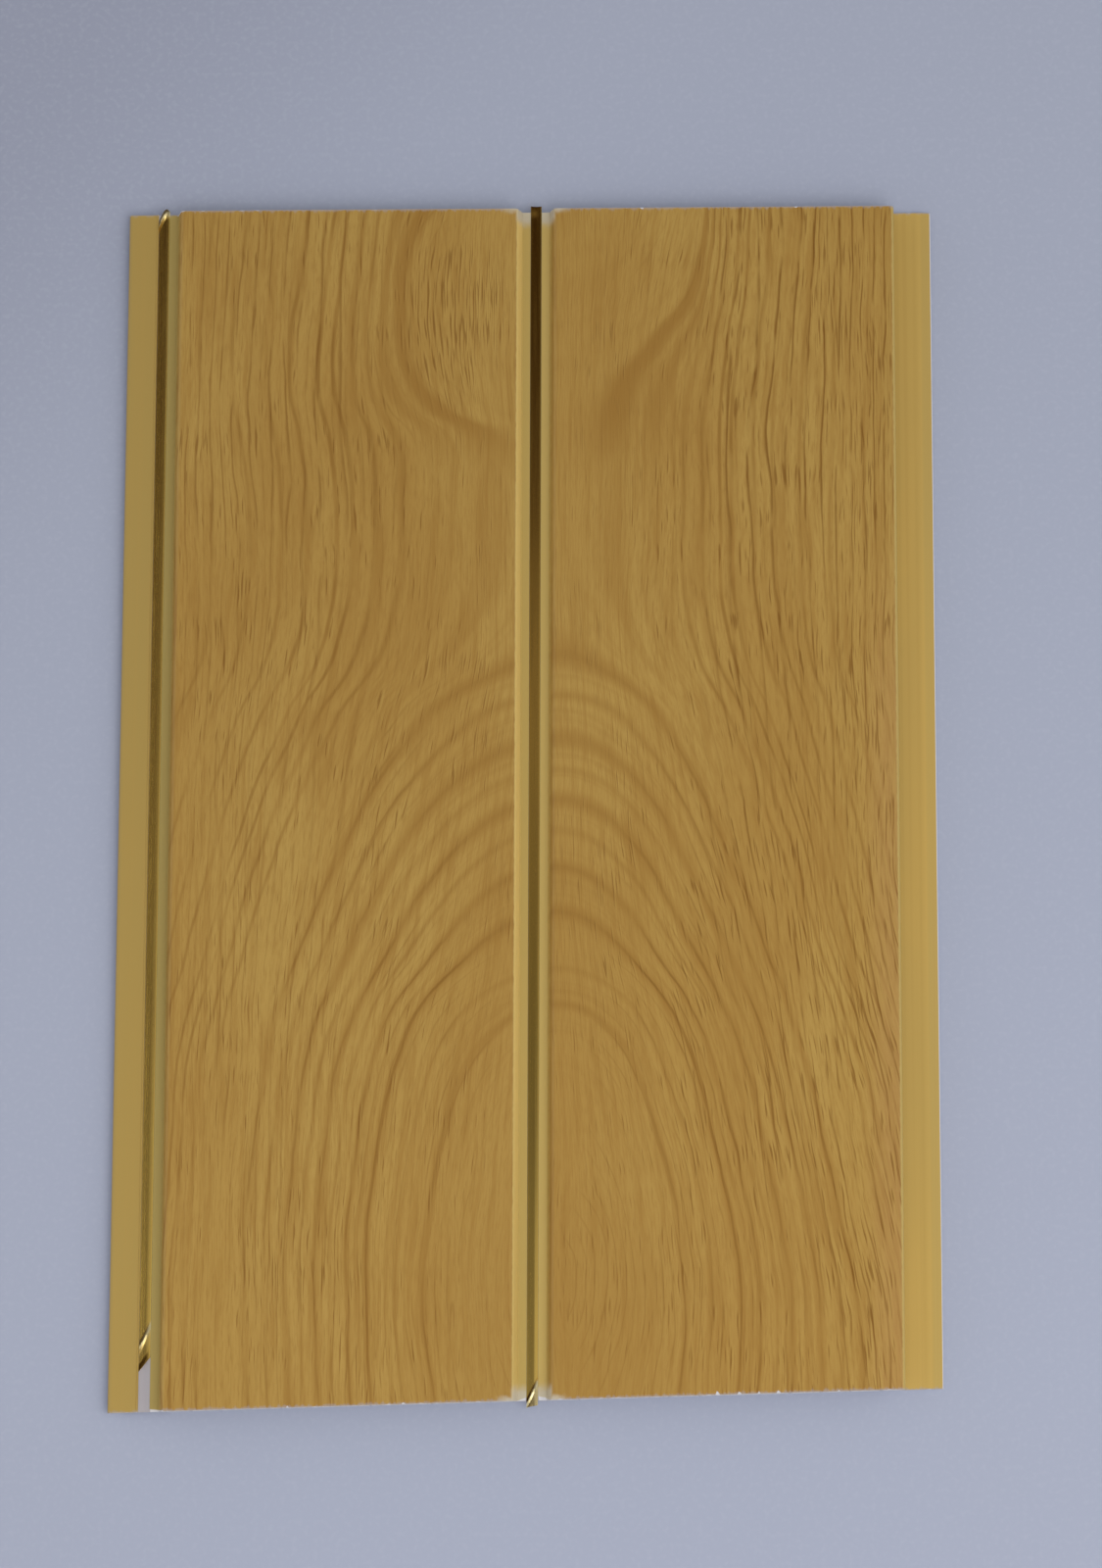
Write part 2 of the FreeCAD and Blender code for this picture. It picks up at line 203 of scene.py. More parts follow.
def rounded_corner(before, corner, after, radius):
    """Points of the arc that rounds a corner between two straight runs."""
    here = Vector(corner)
    back = (Vector(before) - here).normalized()
    ahead = (Vector(after) - here).normalized()
    half = back.angle(ahead) / 2
    centre = here + (back + ahead).normalized() * radius / math.sin(half)
    start = here + back * radius / math.tan(half) - centre
    end = here + ahead * radius / math.tan(half) - centre
    turn = start.angle(end)
    points = []
    for step in range(ARC_STEPS + 1):
        part = step / ARC_STEPS
        blend = start * math.sin((1 - part) * turn) + end * math.sin(part * turn)
        points.append(tuple(centre + blend / math.sin(turn)))
    return points


def seat_floor():
    """Height of the lowest line of a strip's seat."""
    return sizes().ledge - sizes().seat_step - sizes().seat_dip


def hollow_radius():
    """Radius of the seats' hollow floors."""
    s = sizes()
    return ((s.seat_width / 2) ** 2 + s.seat_dip ** 2) / (2 * s.seat_dip)


def seat_points(groove):
    """The hollow floor of a strip's seat, from its left edge to its right."""
    radius = hollow_radius()
    spread = math.degrees(math.asin(sizes().seat_width / 2 / radius))
    return arc_points((groove, seat_floor() + radius), radius, 270 - spread, 270 + spread,
                      SEAT_STEPS)


def grooves():
    """Places across the panel of the two grooves."""
    first = LOW.x + sizes().groove
    return first, first + sizes().board_pitch


def side_wall():
    return HIGH.x - sizes().flange_width


def tongue_run():
    s = sizes()
    middle = (s.tongue_floor + s.ledge) / 2
    top = arc_points((LOW.x + s.tongue_radius, s.ledge - s.tongue_radius), s.tongue_radius,
                     180, 90)
    end = grooves()[0] - s.seat_width / 2
    foot = end - s.ridge_width
    crown = s.ledge + s.ridge_height
    ridge = [(foot, s.ledge), (foot + s.ridge_width / 3, crown),
             (foot + s.ridge_width * 2 / 3, crown), (end, s.ledge)]
    return [(LOW.x, middle)] + top + ridge


def wall_up(groove):
    """From a seat's right edge over the ledge and up to the start of the board's face."""
    s = sizes()
    seat_edge = groove + s.seat_width / 2
    foot = (seat_edge + s.ledge_width, s.ledge)
    top = (foot[0] + s.wall_run, HIGH.z)
    inward = (top[0] + s.board_pitch / 2, HIGH.z)
    return [(seat_edge, s.ledge), foot] + rounded_corner(foot, top, inward, s.shoulder)


def wall_down(groove):
    """From the end of a board's face down to the left edge of the next seat."""
    return [(2 * groove - x, z) for x, z in reversed(wall_up(groove))]


def left_board_run():
    first, second = grooves()
    return wall_up(first) + wall_down(second)


def right_board_run():
    s = sizes()
    face_end = (side_wall(), HIGH.z)
    foot = (side_wall(), s.slot_roof)
    inward = (side_wall() - s.board_pitch / 2, HIGH.z)
    return wall_up(grooves()[1]) + rounded_corner(inward, face_end, foot, s.edge) + [foot]


def flange_run():
    """Top of the flange with a gentle bead, from just inside the slot round to its rim."""
    s = sizes()
    start = side_wall() - s.flange_top
    taper = HIGH.x - s.taper_width
    bead_start = taper - BEAD_FROM_TAPER
    points = [(start, s.flange_top), (bead_start, s.flange_top)]
    for step in range(1, BEAD_STEPS):
        part = step / BEAD_STEPS
        points.append((bead_start + part * (taper - bead_start),
                       s.flange_top + s.bead * math.sin(part * math.pi)))
    rim = s.flange_top - s.taper_drop
    last = HIGH.x - BARE_RIM
    last_height = rim + s.taper_drop * BARE_RIM / s.taper_width
    return points + [(taper, s.flange_top), (last, last_height)]


def inset(points, distance):
    """The same run moved into the material, to the right of its direction."""
    spots = [Vector(point) for point in points]
    sides = [after - before for before, after in zip(spots, spots[1:])]
    normals = [Vector((side.y, -side.x)).normalized() for side in sides]
    moved = []
    for here, before, after in zip(spots, normals[:1] + normals, normals + normals[-1:]):
        shift = (before + after) / (1 + before.dot(after))
        moved.append(tuple(here + shift * distance))
    return moved


def fine(points, step):
    """The same run with points at most one step apart."""
    result = [points[0]]
    for start, end in zip(points, points[1:]):
        parts = max(1, math.ceil(math.dist(start, end) / step))
        result += [tuple(Vector(start).lerp(end, part / parts)) for part in range(1, parts + 1)]
    return result


# Ends of the panel: the far end is cut square, the near end is sawn at a slant

def near_end(x):
    return LOW.y + sizes().end_slant * (x - LOW.x) / (HIGH.x - LOW.x)


SAW_GRIT = 0.10 * MM
SAW_GRIT_PITCH = 0.7 * MM
SAW_TEAR = 0.45 * MM
SAW_TEAR_PITCH = 2.1 * MM
TEAR_START = 0.25

# Film lost at an end, in millimetres: from x, to x, depth at the first and at the second
NEAR_LOSSES = [
    (-2.0, 0.6, 0.0, 0.9), (3.4, 5.2, 1.2, 0.6), (5.2, 6.8, 0.6, 0.0),
    (49.3, 50.0, 1.0, 0.5), (54.9, 55.5, 0.7, 0.4), (59.8, 60.4, 0.4, 0.8),
    (64.9, 65.6, 0.7, 0.3), (-60.8, -60.2, 0.4, 0.5), (-31.4, -30.6, 0.5, 0.3),
    (80.2, 80.7, 0.5, 0.3), (-96.6, -92.5, 0.7, 0.2),
]
FAR_LOSSES = [
    (-94.6, -92.0, 0.5, 0.1),
    (30.0, 30.7, 0.3, 0.5), (71.2, 72.0, 0.4, 0.2),
]


def lost(x, losses):
    """How much film is gone at x."""
    deepest = 0.0
    for start, end, first, second in losses:
        if start * MM <= x <= end * MM:
            part = (x / MM - start) / (end - start)
            deepest = max(deepest, (first + (second - first) * part) * MM)
    return deepest


def torn(x, seed):
    """Fine raggedness of a sawn film edge: grit everywhere and small tears here and there."""
    grit = abs(noise.noise((x / SAW_GRIT_PITCH, seed, 0))) * SAW_GRIT
    tear = max(0.0, noise.noise((x / SAW_TEAR_PITCH, seed, 5.0)) - TEAR_START) * SAW_TEAR
    return grit + tear


# Meshes

def new_object(name, data):
    obj = bpy.data.objects.new(name, data)
    bpy.context.scene.collection.objects.link(obj)
    return obj


def plain_object(name, verts, edges, faces):
    """New object with a mesh of the given points, edges and faces."""
    mesh = bpy.data.meshes.new(name)
    mesh.from_pydata(verts, edges, faces)
    return new_object(name, mesh)


def link_mesh(name, mesh):
    """New object at the origin, with its faces pointing outwards."""
    shape = bmesh.new()
    shape.from_mesh(mesh)
    bmesh.ops.remove_doubles(shape, verts=shape.verts, dist=MERGE)
    bmesh.ops.recalc_face_normals(shape, faces=shape.faces)
    shape.to_mesh(mesh)
    shape.free()
    mesh.shade_smooth()
    mesh.set_sharp_from_angle(angle=SHARP_EDGE)
    return new_object(name, mesh)


def finish_piece(obj, slot, *nodes):
    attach(obj, BODY)
    if nodes:
        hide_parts(*nodes)


def baked(obj):
    """Turn the object's evaluated shape into its plain mesh and drop its modifiers."""
    depsgraph = bpy.context.evaluated_depsgraph_get()
    mesh = bpy.data.meshes.new_from_object(obj.evaluated_get(depsgraph), depsgraph=depsgraph)
    old = obj.data
    name = obj.name
    bpy.data.objects.remove(obj)
    bpy.data.meshes.remove(old)
    mesh.name = name
    return link_mesh(name, mesh)


def edge_mesh(name, loops, closed=True):
    """Mesh of edges only, one loop or path for each list of points."""
    verts = []
    edges = []
    for loop in loops:
        first = len(verts)
        verts += [(*point, 0.0) if len(point) == 2 else point for point in loop]
        count = len(loop)
        edges += [(first + n, first + (n + 1) % count)
                  for n in range(count if closed else count - 1)]
    return plain_object(name, verts, edges, [])


def film_rows(x, seed):
    """Places along the panel of the film's points at x, from the near end to the far end."""
    near = near_end(x)
    start = near + END_ROWS[-1]
    last = HIGH.y - END_ROWS[-1]
    count = math.ceil((last - start) / ROW)
    return [near + torn(x, seed) + lost(x, NEAR_LOSSES), near + END_ROWS[0],
            *[start + (last - start) * n / count for n in range(count + 1)],
            HIGH.y - END_ROWS[0], HIGH.y - torn(x, seed + 7.0) - lost(x, FAR_LOSSES)]


def film_shell(name, run, seed, sunk):
    """Closed thin shell on the panel's face. sunk gives how far the face has sunk at x."""
    s = sizes()
    outer = fine(run, COLUMN)
    if sunk:
        outer = [(x, z - sunk(x, z)) for x, z in outer]
    inner = inset(outer, s.film * FILM_OVERLAP)
    rows = [film_rows(x, seed) for x, _ in outer]
    high = len(rows[0])
    wide = len(outer)
    verts = []
    for layer in (outer, inner):
        for number, (x, z) in enumerate(layer):
            verts += [(x, y, z) for y in rows[number]]
    faces = []

    def quad(*corners):
        faces.append([(layer * wide + column) * high + row for layer, column, row in corners])

    for column in range(wide - 1):
        for row in range(high - 1):
            for layer in (0, 1):
                quad((layer, column, row), (layer, column + 1, row),
                     (layer, column + 1, row + 1), (layer, column, row + 1))
        for row in (0, high - 1):
            quad((0, column, row), (0, column + 1, row), (1, column + 1, row), (1, column, row))
    for column in (0, wide - 1):
        for row in range(high - 1):
            quad((0, column, row), (0, column, row + 1), (1, column, row + 1), (1, column, row))
    mesh = bpy.data.meshes.new(name)
    mesh.from_pydata(verts, [], faces)
    return link_mesh(name, mesh)


def sink_marks(groove):
    """Sinking of a board's face between its ribs."""
    s = sizes()
    pitch = cell_pitch()

    def sunk(x, z):
        if z < HIGH.z - s.film:
            return 0.0
        return s.sag * (0.5 - 0.5 * math.cos(math.tau * (x - groove - s.first_rib) / pitch))

    return sunk


def cell_pitch():
    """The second board's last cell ends at the wall behind the slot."""
    s = sizes()
    last_rib = side_wall() - s.slot_depth - s.skin + s.rib / 2
    return (last_rib - grooves()[1] - s.first_rib) / s.cells


# Node trees

SOCKET_KINDS = {"Position": "Vector", "Geometry": "Geometry", "Cells": "Int"}


class Wiring:
    """Adds nodes to a tree and joins them, so that a formula reads line by line."""

    def __init__(self, tree):
        self.tree = tree

    def feed(self, socket, value):
        if isinstance(value, bpy.types.NodeSocket):
            self.tree.links.new(value, socket)
        else:
            socket.default_value = value

    def feed_all(self, sockets, **values):
        for name, value in values.items():
            self.feed(sockets[name], value)

    def node(self, kind, feeds=None, **settings):
        """New node. feeds gives inputs by name or number, each a value or a socket."""
        node = self.tree.nodes.new(kind)
        for name, value in settings.items():
            setattr(node, name, value)
        for key, value in (feeds or {}).items():
            self.feed(node.inputs[key], value)
        return node

    def shape(self, kind, feeds, **settings):
        """First output of a new geometry node."""
        return self.node("GeometryNode" + kind, feeds, **settings).outputs[0]

    def math(self, operation, *values):
        """One operation, which takes in a third value and any further ones in turn."""
        if len(values) > 2:
            values = (self.math(operation, *values[:-1]), values[-1])
        return self.node("ShaderNodeMath", dict(enumerate(values)),
                         operation=operation).outputs[0]

    def add(self, *values):
        return self.math("ADD", *values)

    def minus(self, value, amount):
        return self.math("SUBTRACT", value, amount)

    def times(self, *values):
        return self.math("MULTIPLY", *values)

    def over(self, value, amount):
        return self.math("DIVIDE", value, amount)

    def largest(self, *values):
        return self.math("MAXIMUM", *values)

    def absolute(self, value):
        return self.math("ABSOLUTE", value)

    def vector(self, x=0.0, y=0.0, z=0.0):
        return self.node("ShaderNodeCombineXYZ", {0: x, 1: y, 2: z}).outputs[0]

    def axes(self, vector):
        return self.node("ShaderNodeSeparateXYZ", {0: vector}).outputs

    def object_position(self):
        return self.node("ShaderNodeTexCoord").outputs["Object"]

    def step(self, value, start, end, low=0.0, high=1.0):
        """Smooth change from low to high while value goes from start up or down to end."""
        return self.node("ShaderNodeMapRange", {
            "Value": value, "From Min": start, "From Max": end,
            "To Min": low, "To Max": high}, interpolation_type="SMOOTHSTEP").outputs[0]

    def noise(self, vector, scale=1.0, detail=2.0, roughness=0.5):
        return self.node("ShaderNodeTexNoise", {
            "Vector": vector, "Scale": scale, "Detail": detail,
            "Roughness": roughness}).outputs[0]

    def patches(self, x, x_scale, y, y_scale, **settings):
        """Noise with a scale of its own along each of two axes."""
        place = self.vector(self.times(x, x_scale), self.times(y, y_scale))
        return self.noise(place, **settings)

    def between(self, part, first, second):
        """Number that goes from the first to the second while part goes from 0 to 1."""
        node = self.node("ShaderNodeMix", {0: part, 2: first, 3: second}, data_type="FLOAT")
        return node.outputs[0]

    def mix(self, factor, first, second, blend="MIX"):
        node = self.node("ShaderNodeMix", data_type="RGBA", blend_type=blend)
        for number, value in ((0, factor), (6, first), (7, second)):
            self.feed(node.inputs[number], value)
        return node.outputs[2]

    def coats(self, base, *coats):
        """The base colour under one coat after another, each a share and a colour."""
        for coat_share, tone in coats:
            base = self.mix(coat_share, base, tone)
        return base

    def use(self, name, **feeds):
        """Node group of that name, built the first time that it is asked for."""
        node = self.node("ShaderNodeGroup")
        node.node_tree = bpy.data.node_groups.get(name) or GROUP_BUILDERS[name]()
        self.feed_all(node.inputs, **feeds)
        return node.outputs

    def join(self, *parts):
        """Several geometries as one."""
        joined = self.node("GeometryNodeJoinGeometry")
        for part in parts:
            self.feed(joined.inputs[0], part)
        return joined.outputs[0]


def new_tree(name, inputs, outputs, kind="ShaderNodeTree"):
    """Node tree with named sockets: its wiring, what comes in and what goes out."""
    tree = bpy.data.node_groups.new(name, kind)
    for way, labels in (("INPUT", inputs), ("OUTPUT", outputs)):
        for label in labels:
            socket_kind = "NodeSocket" + SOCKET_KINDS.get(label, "Float")
            tree.interface.new_socket(name=label, in_out=way, socket_type=socket_kind)
    entry = tree.nodes.new("NodeGroupInput").outputs
    leave = tree.nodes.new("NodeGroupOutput").inputs
    return Wiring(tree), entry, leave


def new_material(name, preview):
    """Material with a Principled BSDF, returned with its wiring and its shader node."""
    material = bpy.data.materials.new(name)
    material.use_nodes = True
    material.diffuse_color = preview
    tree = material.node_tree
    return material, Wiring(tree), tree.nodes["Principled BSDF"]


def finish_surface(w, shader, tone, rough, strength, depth, height):
    """Wire the colour and roughness of a material, and a relief of that strength and depth."""
    bump = w.node("ShaderNodeBump", {"Strength": strength, "Distance": depth, "Height": height})
    for name, value in (("Base Color", tone), ("Roughness", rough),
                        ("Normal", bump.outputs[0])):
        w.feed(shader.inputs[name], value)


# The oak figure: rings round a long cone, cut open by the panel's face, in millimetres

FIGURE_MIDDLE = 8.4
RIGHT_SQUEEZE = 1.29
FIGURE_DEPTH = 7200.0
FIGURE_LENGTH = 320.0
SWAY = 3.8
RIPPLE = 1.7
TURN_WIDTH = 30.0

# Lengthwise profile of the figure: place along the panel, and share of the depth. At the far
# end the rings close to an oval on the left board and open out on the right one.
NEAR_PROFILE = [
    (-160, 0.035), (-125, 0.0), (-98, 0.03), (-70, 0.095), (-40, 0.28), (-10, 0.48),
    (20, 0.73), (50, 0.945), (80, 0.957),
]
LEFT_PROFILE = NEAR_PROFILE + [(95, 0.93), (112, 0.87), (125, 0.865), (140, 0.90), (160, 0.95)]
OVAL_PROFILE = NEAR_PROFILE + [(93, 0.955), (103, 0.86), (112, 0.778), (121, 0.728),
                               (133, 0.707), (147, 0.752), (160, 0.83)]
RIGHT_PROFILE = NEAR_PROFILE + [(105, 0.945), (120, 0.86), (135, 0.70), (160, 0.53)]
FAR_RIGHT_PROFILE = NEAR_PROFILE + [(105, 0.945), (130, 0.90), (145, 0.87), (160, 0.84)]

# Rings that stand out: radius, half width and strength
MARKED_RINGS = [
    (34.8, 0.9, 0.9), (41.5, 0.7, 0.5), (49.3, 1.1, 1.0), (54.6, 0.9, 0.9),
    (59.0, 0.6, 0.5), (62.8, 1.1, 0.9), (66.6, 0.6, 0.5), (70.4, 1.2, 0.9),
    (75.6, 0.8, 0.6), (80.4, 1.2, 0.9), (84.8, 1.7, 1.3), (89.0, 1.1, 0.9),
    (93.0, 0.6, 0.6), (96.2, 0.7, 0.7), (99.5, 0.35, 0.8), (101.9, 0.35, 0.8),
    (106.5, 0.6, 0.7), (111.0, 0.6, 0.6), (117.0, 0.7, 0.6), (124.0, 0.7, 0.5),
]

# Those of them that show only towards the far end
FAR_RINGS = (84.8, 89.0)


def figure_group():
    """Ring radius and the places across and along the wood's flow, in millimetres.

    Steep is 1 where the rings run along the panel and 0 where they turn across it. Outer is 1
    towards the panel's two sides, where the lines run nearly straight.
    """
    w, entry, leave = new_tree("Oak figure", ["Position"],
                               ["Radius", "Across", "Along", "Steep", "Outer"])
    place = w.node("ShaderNodeVectorMath", {0: entry["Position"], "Scale": 1 / MM},
                   operation="SCALE").outputs[0]
    across, along, _ = w.axes(place)
    sway = w.times(w.minus(w.patches(across, 1 / 30, along, 1 / 60, detail=1.0), 0.5), SWAY)
    ripple = w.times(w.minus(w.patches(across, 1 / 9, along, 1 / 24), 0.5), RIPPLE)
    off_middle = w.minus(w.add(across, sway, ripple), FIGURE_MIDDLE)
    spread = w.step(along, -175.0, 5.0, 1.0, RIGHT_SQUEEZE)
    reach = w.times(off_middle, w.step(off_middle, -1.0, 1.0, 1.0, spread))
    straight = w.over(reach, w.step(off_middle, -1.0, 1.0, 1.0, RIGHT_SQUEEZE))
    far_off = w.absolute(reach)
    part = w.over(w.add(along, FIGURE_LENGTH / 2), FIGURE_LENGTH)
    outside, oval, beside, far_right = [
        profile_curve(w, part, profile)
        for profile in (LEFT_PROFILE, OVAL_PROFILE, RIGHT_PROFILE, FAR_RIGHT_PROFILE)]
    left = w.between(w.step(far_off, 58.0, 34.0), outside, oval)
    right = w.between(w.step(reach, 44.0, 62.0), beside, far_right)
    depth = w.between(w.step(across, -2.0, 6.5), left, right)
    radius = w.math("SQRT", w.add(w.math("POWER", far_off, 2.0), w.times(depth, FIGURE_DEPTH)))
    turned = w.over(off_middle, w.math(
        "SQRT", w.add(w.times(off_middle, off_middle), TURN_WIDTH ** 2)))
    fading = w.step(far_off, 20.0, 105.0, 0.6, 0.06)
    lean = w.times(w.minus(radius, far_off), turned, fading)
    steep = w.over(far_off, w.add(radius, 1.0))
    w.feed_all(leave, Radius=radius, Across=w.add(straight, FIGURE_MIDDLE, lean), Along=along,
               Steep=w.step(steep, 0.20, 0.70), Outer=w.step(far_off, 42.0, 60.0))
    return w.tree


def profile_curve(w, part, profile):
    """Depth of the figure along the panel, from a list of places and depths."""
    curve = w.node("ShaderNodeFloatCurve", {"Value": part})
    points = curve.mapping.curves[0].points
    spots = [(place / FIGURE_LENGTH + 0.5, depth) for place, depth in profile]
    points[0].location = spots[0]
    points[-1].location = spots[-1]
    for spot in spots[1:-1]:
        points.new(*spot)
    curve.mapping.update()
    return curve.outputs[0]


def ring_group():
    """Soft brown rings from the ring radius, the marked ones and others between them."""
    w, entry, leave = new_tree("Oak rings", ["Radius", "Along"], ["Bands", "Lines"])
    radius, along = entry["Radius"], entry["Along"]
    bands = 0.0
    lines = 0.0
    in_oval = w.times(w.step(along, 70.0, 100.0), w.step(radius, 84.4, 82.4))
    shown = w.minus(1.0, w.times(in_oval, 0.85))
    far_part = w.step(along, 78.0, 104.0)
    for place, half_width, strength in MARKED_RINGS:
        off = w.absolute(w.minus(radius, place))
        band = w.step(off, half_width * 0.2, half_width * 1.7, strength, 0.0)
        if place in FAR_RINGS:
            band = w.times(band, far_part)
        else:
            lines = w.largest(lines, w.step(off, 0.12, 0.50, strength, 0.0))
        bands = w.largest(bands, band)
    soft = w.step(w.patches(radius, 0.42, along, 0.006, detail=3.0, roughness=0.6),
                  0.46, 0.74, 0.0, 0.7)
    bands = w.largest(bands, w.times(soft, w.step(radius, 12.0, 40.0)))
    fade = w.step(w.patches(radius, 1 / 9, along, 1 / 26), 0.36, 0.60)
    w.feed_all(leave, Bands=w.times(bands, shown), Lines=w.times(lines, shown, fade))
    return w.tree


def year_line_group():
    """Thin lines along the rings: each darkens slowly, stops sharply and has a light edge, a
    painted highlight on the lit side of the embossed line.
    """
    w, entry, leave = new_tree("Oak year lines", ["Radius", "Along", "Pitch", "Length"],
                               ["Dark", "Light"])
    radius, along = entry["Radius"], entry["Along"]
    wander = w.times(w.patches(radius, 1 / 8, along, 1 / 60), 1.5)
    phase = w.add(w.over(radius, entry["Pitch"]), wander)
    part = w.math("FRACT", phase)
    line_place = w.vector(w.times(w.math("FLOOR", phase), 7.3), w.over(along, entry["Length"]))
    strength = w.step(w.noise(line_place), 0.36, 0.54)
    dark = w.times(w.step(part, 0.74, 0.89), w.step(part, 0.97, 0.89))
    light = w.times(w.step(part, 0.0, 0.10), w.step(part, 0.38, 0.10))
    w.feed_all(leave, Dark=w.times(dark, strength), Light=w.times(light, strength))
    return w.tree


def pore_group():
    """Short dark pores along the wood, each with a light streak beside it, a painted highlight
    on the lit side of the embossed pore.
    """
    w, entry, leave = new_tree("Oak pores", ["Across", "Along", "Density", "Width", "Length"],
                               ["Dark", "Light"])
    along = w.over(entry["Along"], entry["Length"])
    start = w.minus(0.72, w.times(entry["Density"], 0.12))
    end = w.add(start, 0.12)
    for output, shift in (("Dark", 0.0), ("Light", -0.42)):
        across = w.over(w.add(entry["Across"], shift), entry["Width"])
        ticks = w.noise(w.vector(across, along), detail=1.0, roughness=0.4)
        w.feed(leave[output], w.step(ticks, start, end))
    return w.tree


def end_group():
    """Gap is the distance to the nearer sawn end. Near is 1 at that end and falls to 0 at
    about the given width."""
    w, entry, leave = new_tree("Sawn ends", ["Position", "Width"], ["Near", "Gap"])
    x, y, _ = w.axes(entry["Position"])
    slant = sizes().end_slant / (HIGH.x - LOW.x)
    sawn = w.add(w.times(w.minus(x, LOW.x), slant), LOW.y)
    gap = w.math("MINIMUM", w.minus(y, sawn), w.minus(HIGH.y, y))
    fringe = w.step(w.patches(x, 900.0, y, 90.0), 0.3, 0.75, 0.3, 1.5)
    near = w.step(gap, 0.0, w.times(entry["Width"], fringe), 1.0, 0.0)
    w.feed_all(leave, Near=near, Gap=gap)
    return w.tree


def die_line_group():
    """Fine lines that the die leaves along an extrusion."""
    w, entry, leave = new_tree("Die lines", ["Position", "Pitch"], ["Height"])
    x, y, z = w.axes(entry["Position"])
    across = w.over(w.add(x, z), entry["Pitch"])
    w.feed(leave["Height"], w.noise(w.vector(across, w.times(y, 2.0)), detail=3.0))
    return w.tree


GROUP_BUILDERS = {
    "Oak figure": figure_group, "Oak rings": ring_group, "Oak year lines": year_line_group,
    "Oak pores": pore_group, "Sawn ends": end_group, "Die lines": die_line_group,
}


# Materials

# Oval at the far end: its middle and its half sizes, across and along the panel
OVAL_MIDDLE = (-20 * MM, 128 * MM)
OVAL_HALF = (20 * MM, 26 * MM)

FILM_SPECULAR = 0.3
PRINT_SOFT = 0.5 * MM
PRINT_JAG = 0.5 * MM
# Painted shade that darkens the films towards the far end
FAR_PAINTED_SHADE = (0.87, 0.86, 0.84, 1.0)
PLASTIC_SHADE = as_seen(198, 197, 204)
FOIL_SHADE = as_seen(196, 158, 84)
FLOOR_MOTTLE = as_seen(160, 164, 182)
# Painted shade on the floor, towards the far end and the far left corner
FLOOR_FAR_SHADE = as_seen(150, 155, 172)
FLOOR_CORNER_SHADE = as_seen(142, 146, 164)
FLOOR_GRIT = as_seen(190, 194, 205)


def oak_lines(w, figure, x, y):
    """Light and dark of the print's fine lines, and the dark of its pores. The light is a
    painted highlight beside each line and pore.
    """
    across, along = figure["Across"], figure["Along"]
    edge_side = w.step(x, 30 * MM, 80 * MM)
    patchy = w.step(w.patches(x, 60.0, y, 20.0), 0.35, 0.65, 0.25, 1.0)
    inner, outer, upright = [
        w.use("Oak year lines", Radius=radius, Along=along, Pitch=pitch, Length=length)
        for radius, pitch, length in ((figure["Radius"], 2.6, 30.0), (across, 2.9, 19.0),
                                      (across, 1.7, 8.0))]
    patchy_lines = w.times(patchy, w.add(0.55, w.times(edge_side, 0.45)))
    inner_share = w.times(figure["Steep"], patchy_lines, w.minus(1.0, figure["Outer"]))
    even = w.times(w.step(y, 20 * MM, 90 * MM), w.step(x, -20 * MM, 20 * MM, 0.62, 0.95))
    outer_share = w.times(figure["Outer"], w.largest(patchy_lines, even))
    shown = []
    for tone, upright_share in (("Light", 0.25), ("Dark", 0.22)):
        main = w.add(w.times(inner[tone], inner_share), w.times(outer[tone], outer_share))
        shown.append(w.largest(main, w.times(upright[tone], upright_share)))
    density = w.add(patchy, w.times(edge_side, 0.35), w.times(oval_mask(w, x, y), 0.7))
    pores = w.use("Oak pores", Across=across, Along=along, Density=density, Width=0.40,
                  Length=10.0)
    light, dark = shown
    return w.largest(light, pores["Light"]), dark, pores["Dark"]


def groove_film(w, x, y):
    """Colour of the unprinted film on the walls and ledges of the grooves, with a painted
    highlight on the middle groove's left shoulder, painted light on its right ledge and
    painted shade in the left groove.
    """
    c = colours()
    off = w.minus(x, grooves()[1])
    # Painted highlight on the middle groove's lit left wall and shoulder, weaker towards the
    # near end
    left_shoulder_highlight = w.times(w.step(off, -5.2 * MM, -4.7 * MM), w.step(off, -3.4 * MM, -4.0 * MM),
                        w.step(y, -160 * MM, -20 * MM, 0.50, 0.95))
    # Painted light on the middle groove's shaded right ledge and wall
    right_ledge_lightening = w.times(w.step(off, 1.2 * MM, 1.8 * MM, 0.0, 0.22),
                          w.step(off, 4.4 * MM, 3.6 * MM))
    # Painted shade: the left groove's film drawn darker and greenish
    return w.coats(c.ledge_film, (w.step(x, -96 * MM, -90 * MM, 0.85, 0.0), c.greenish_tint_and_shade),
                   (w.add(left_shoulder_highlight, right_ledge_lightening), c.shoulder_highlight))


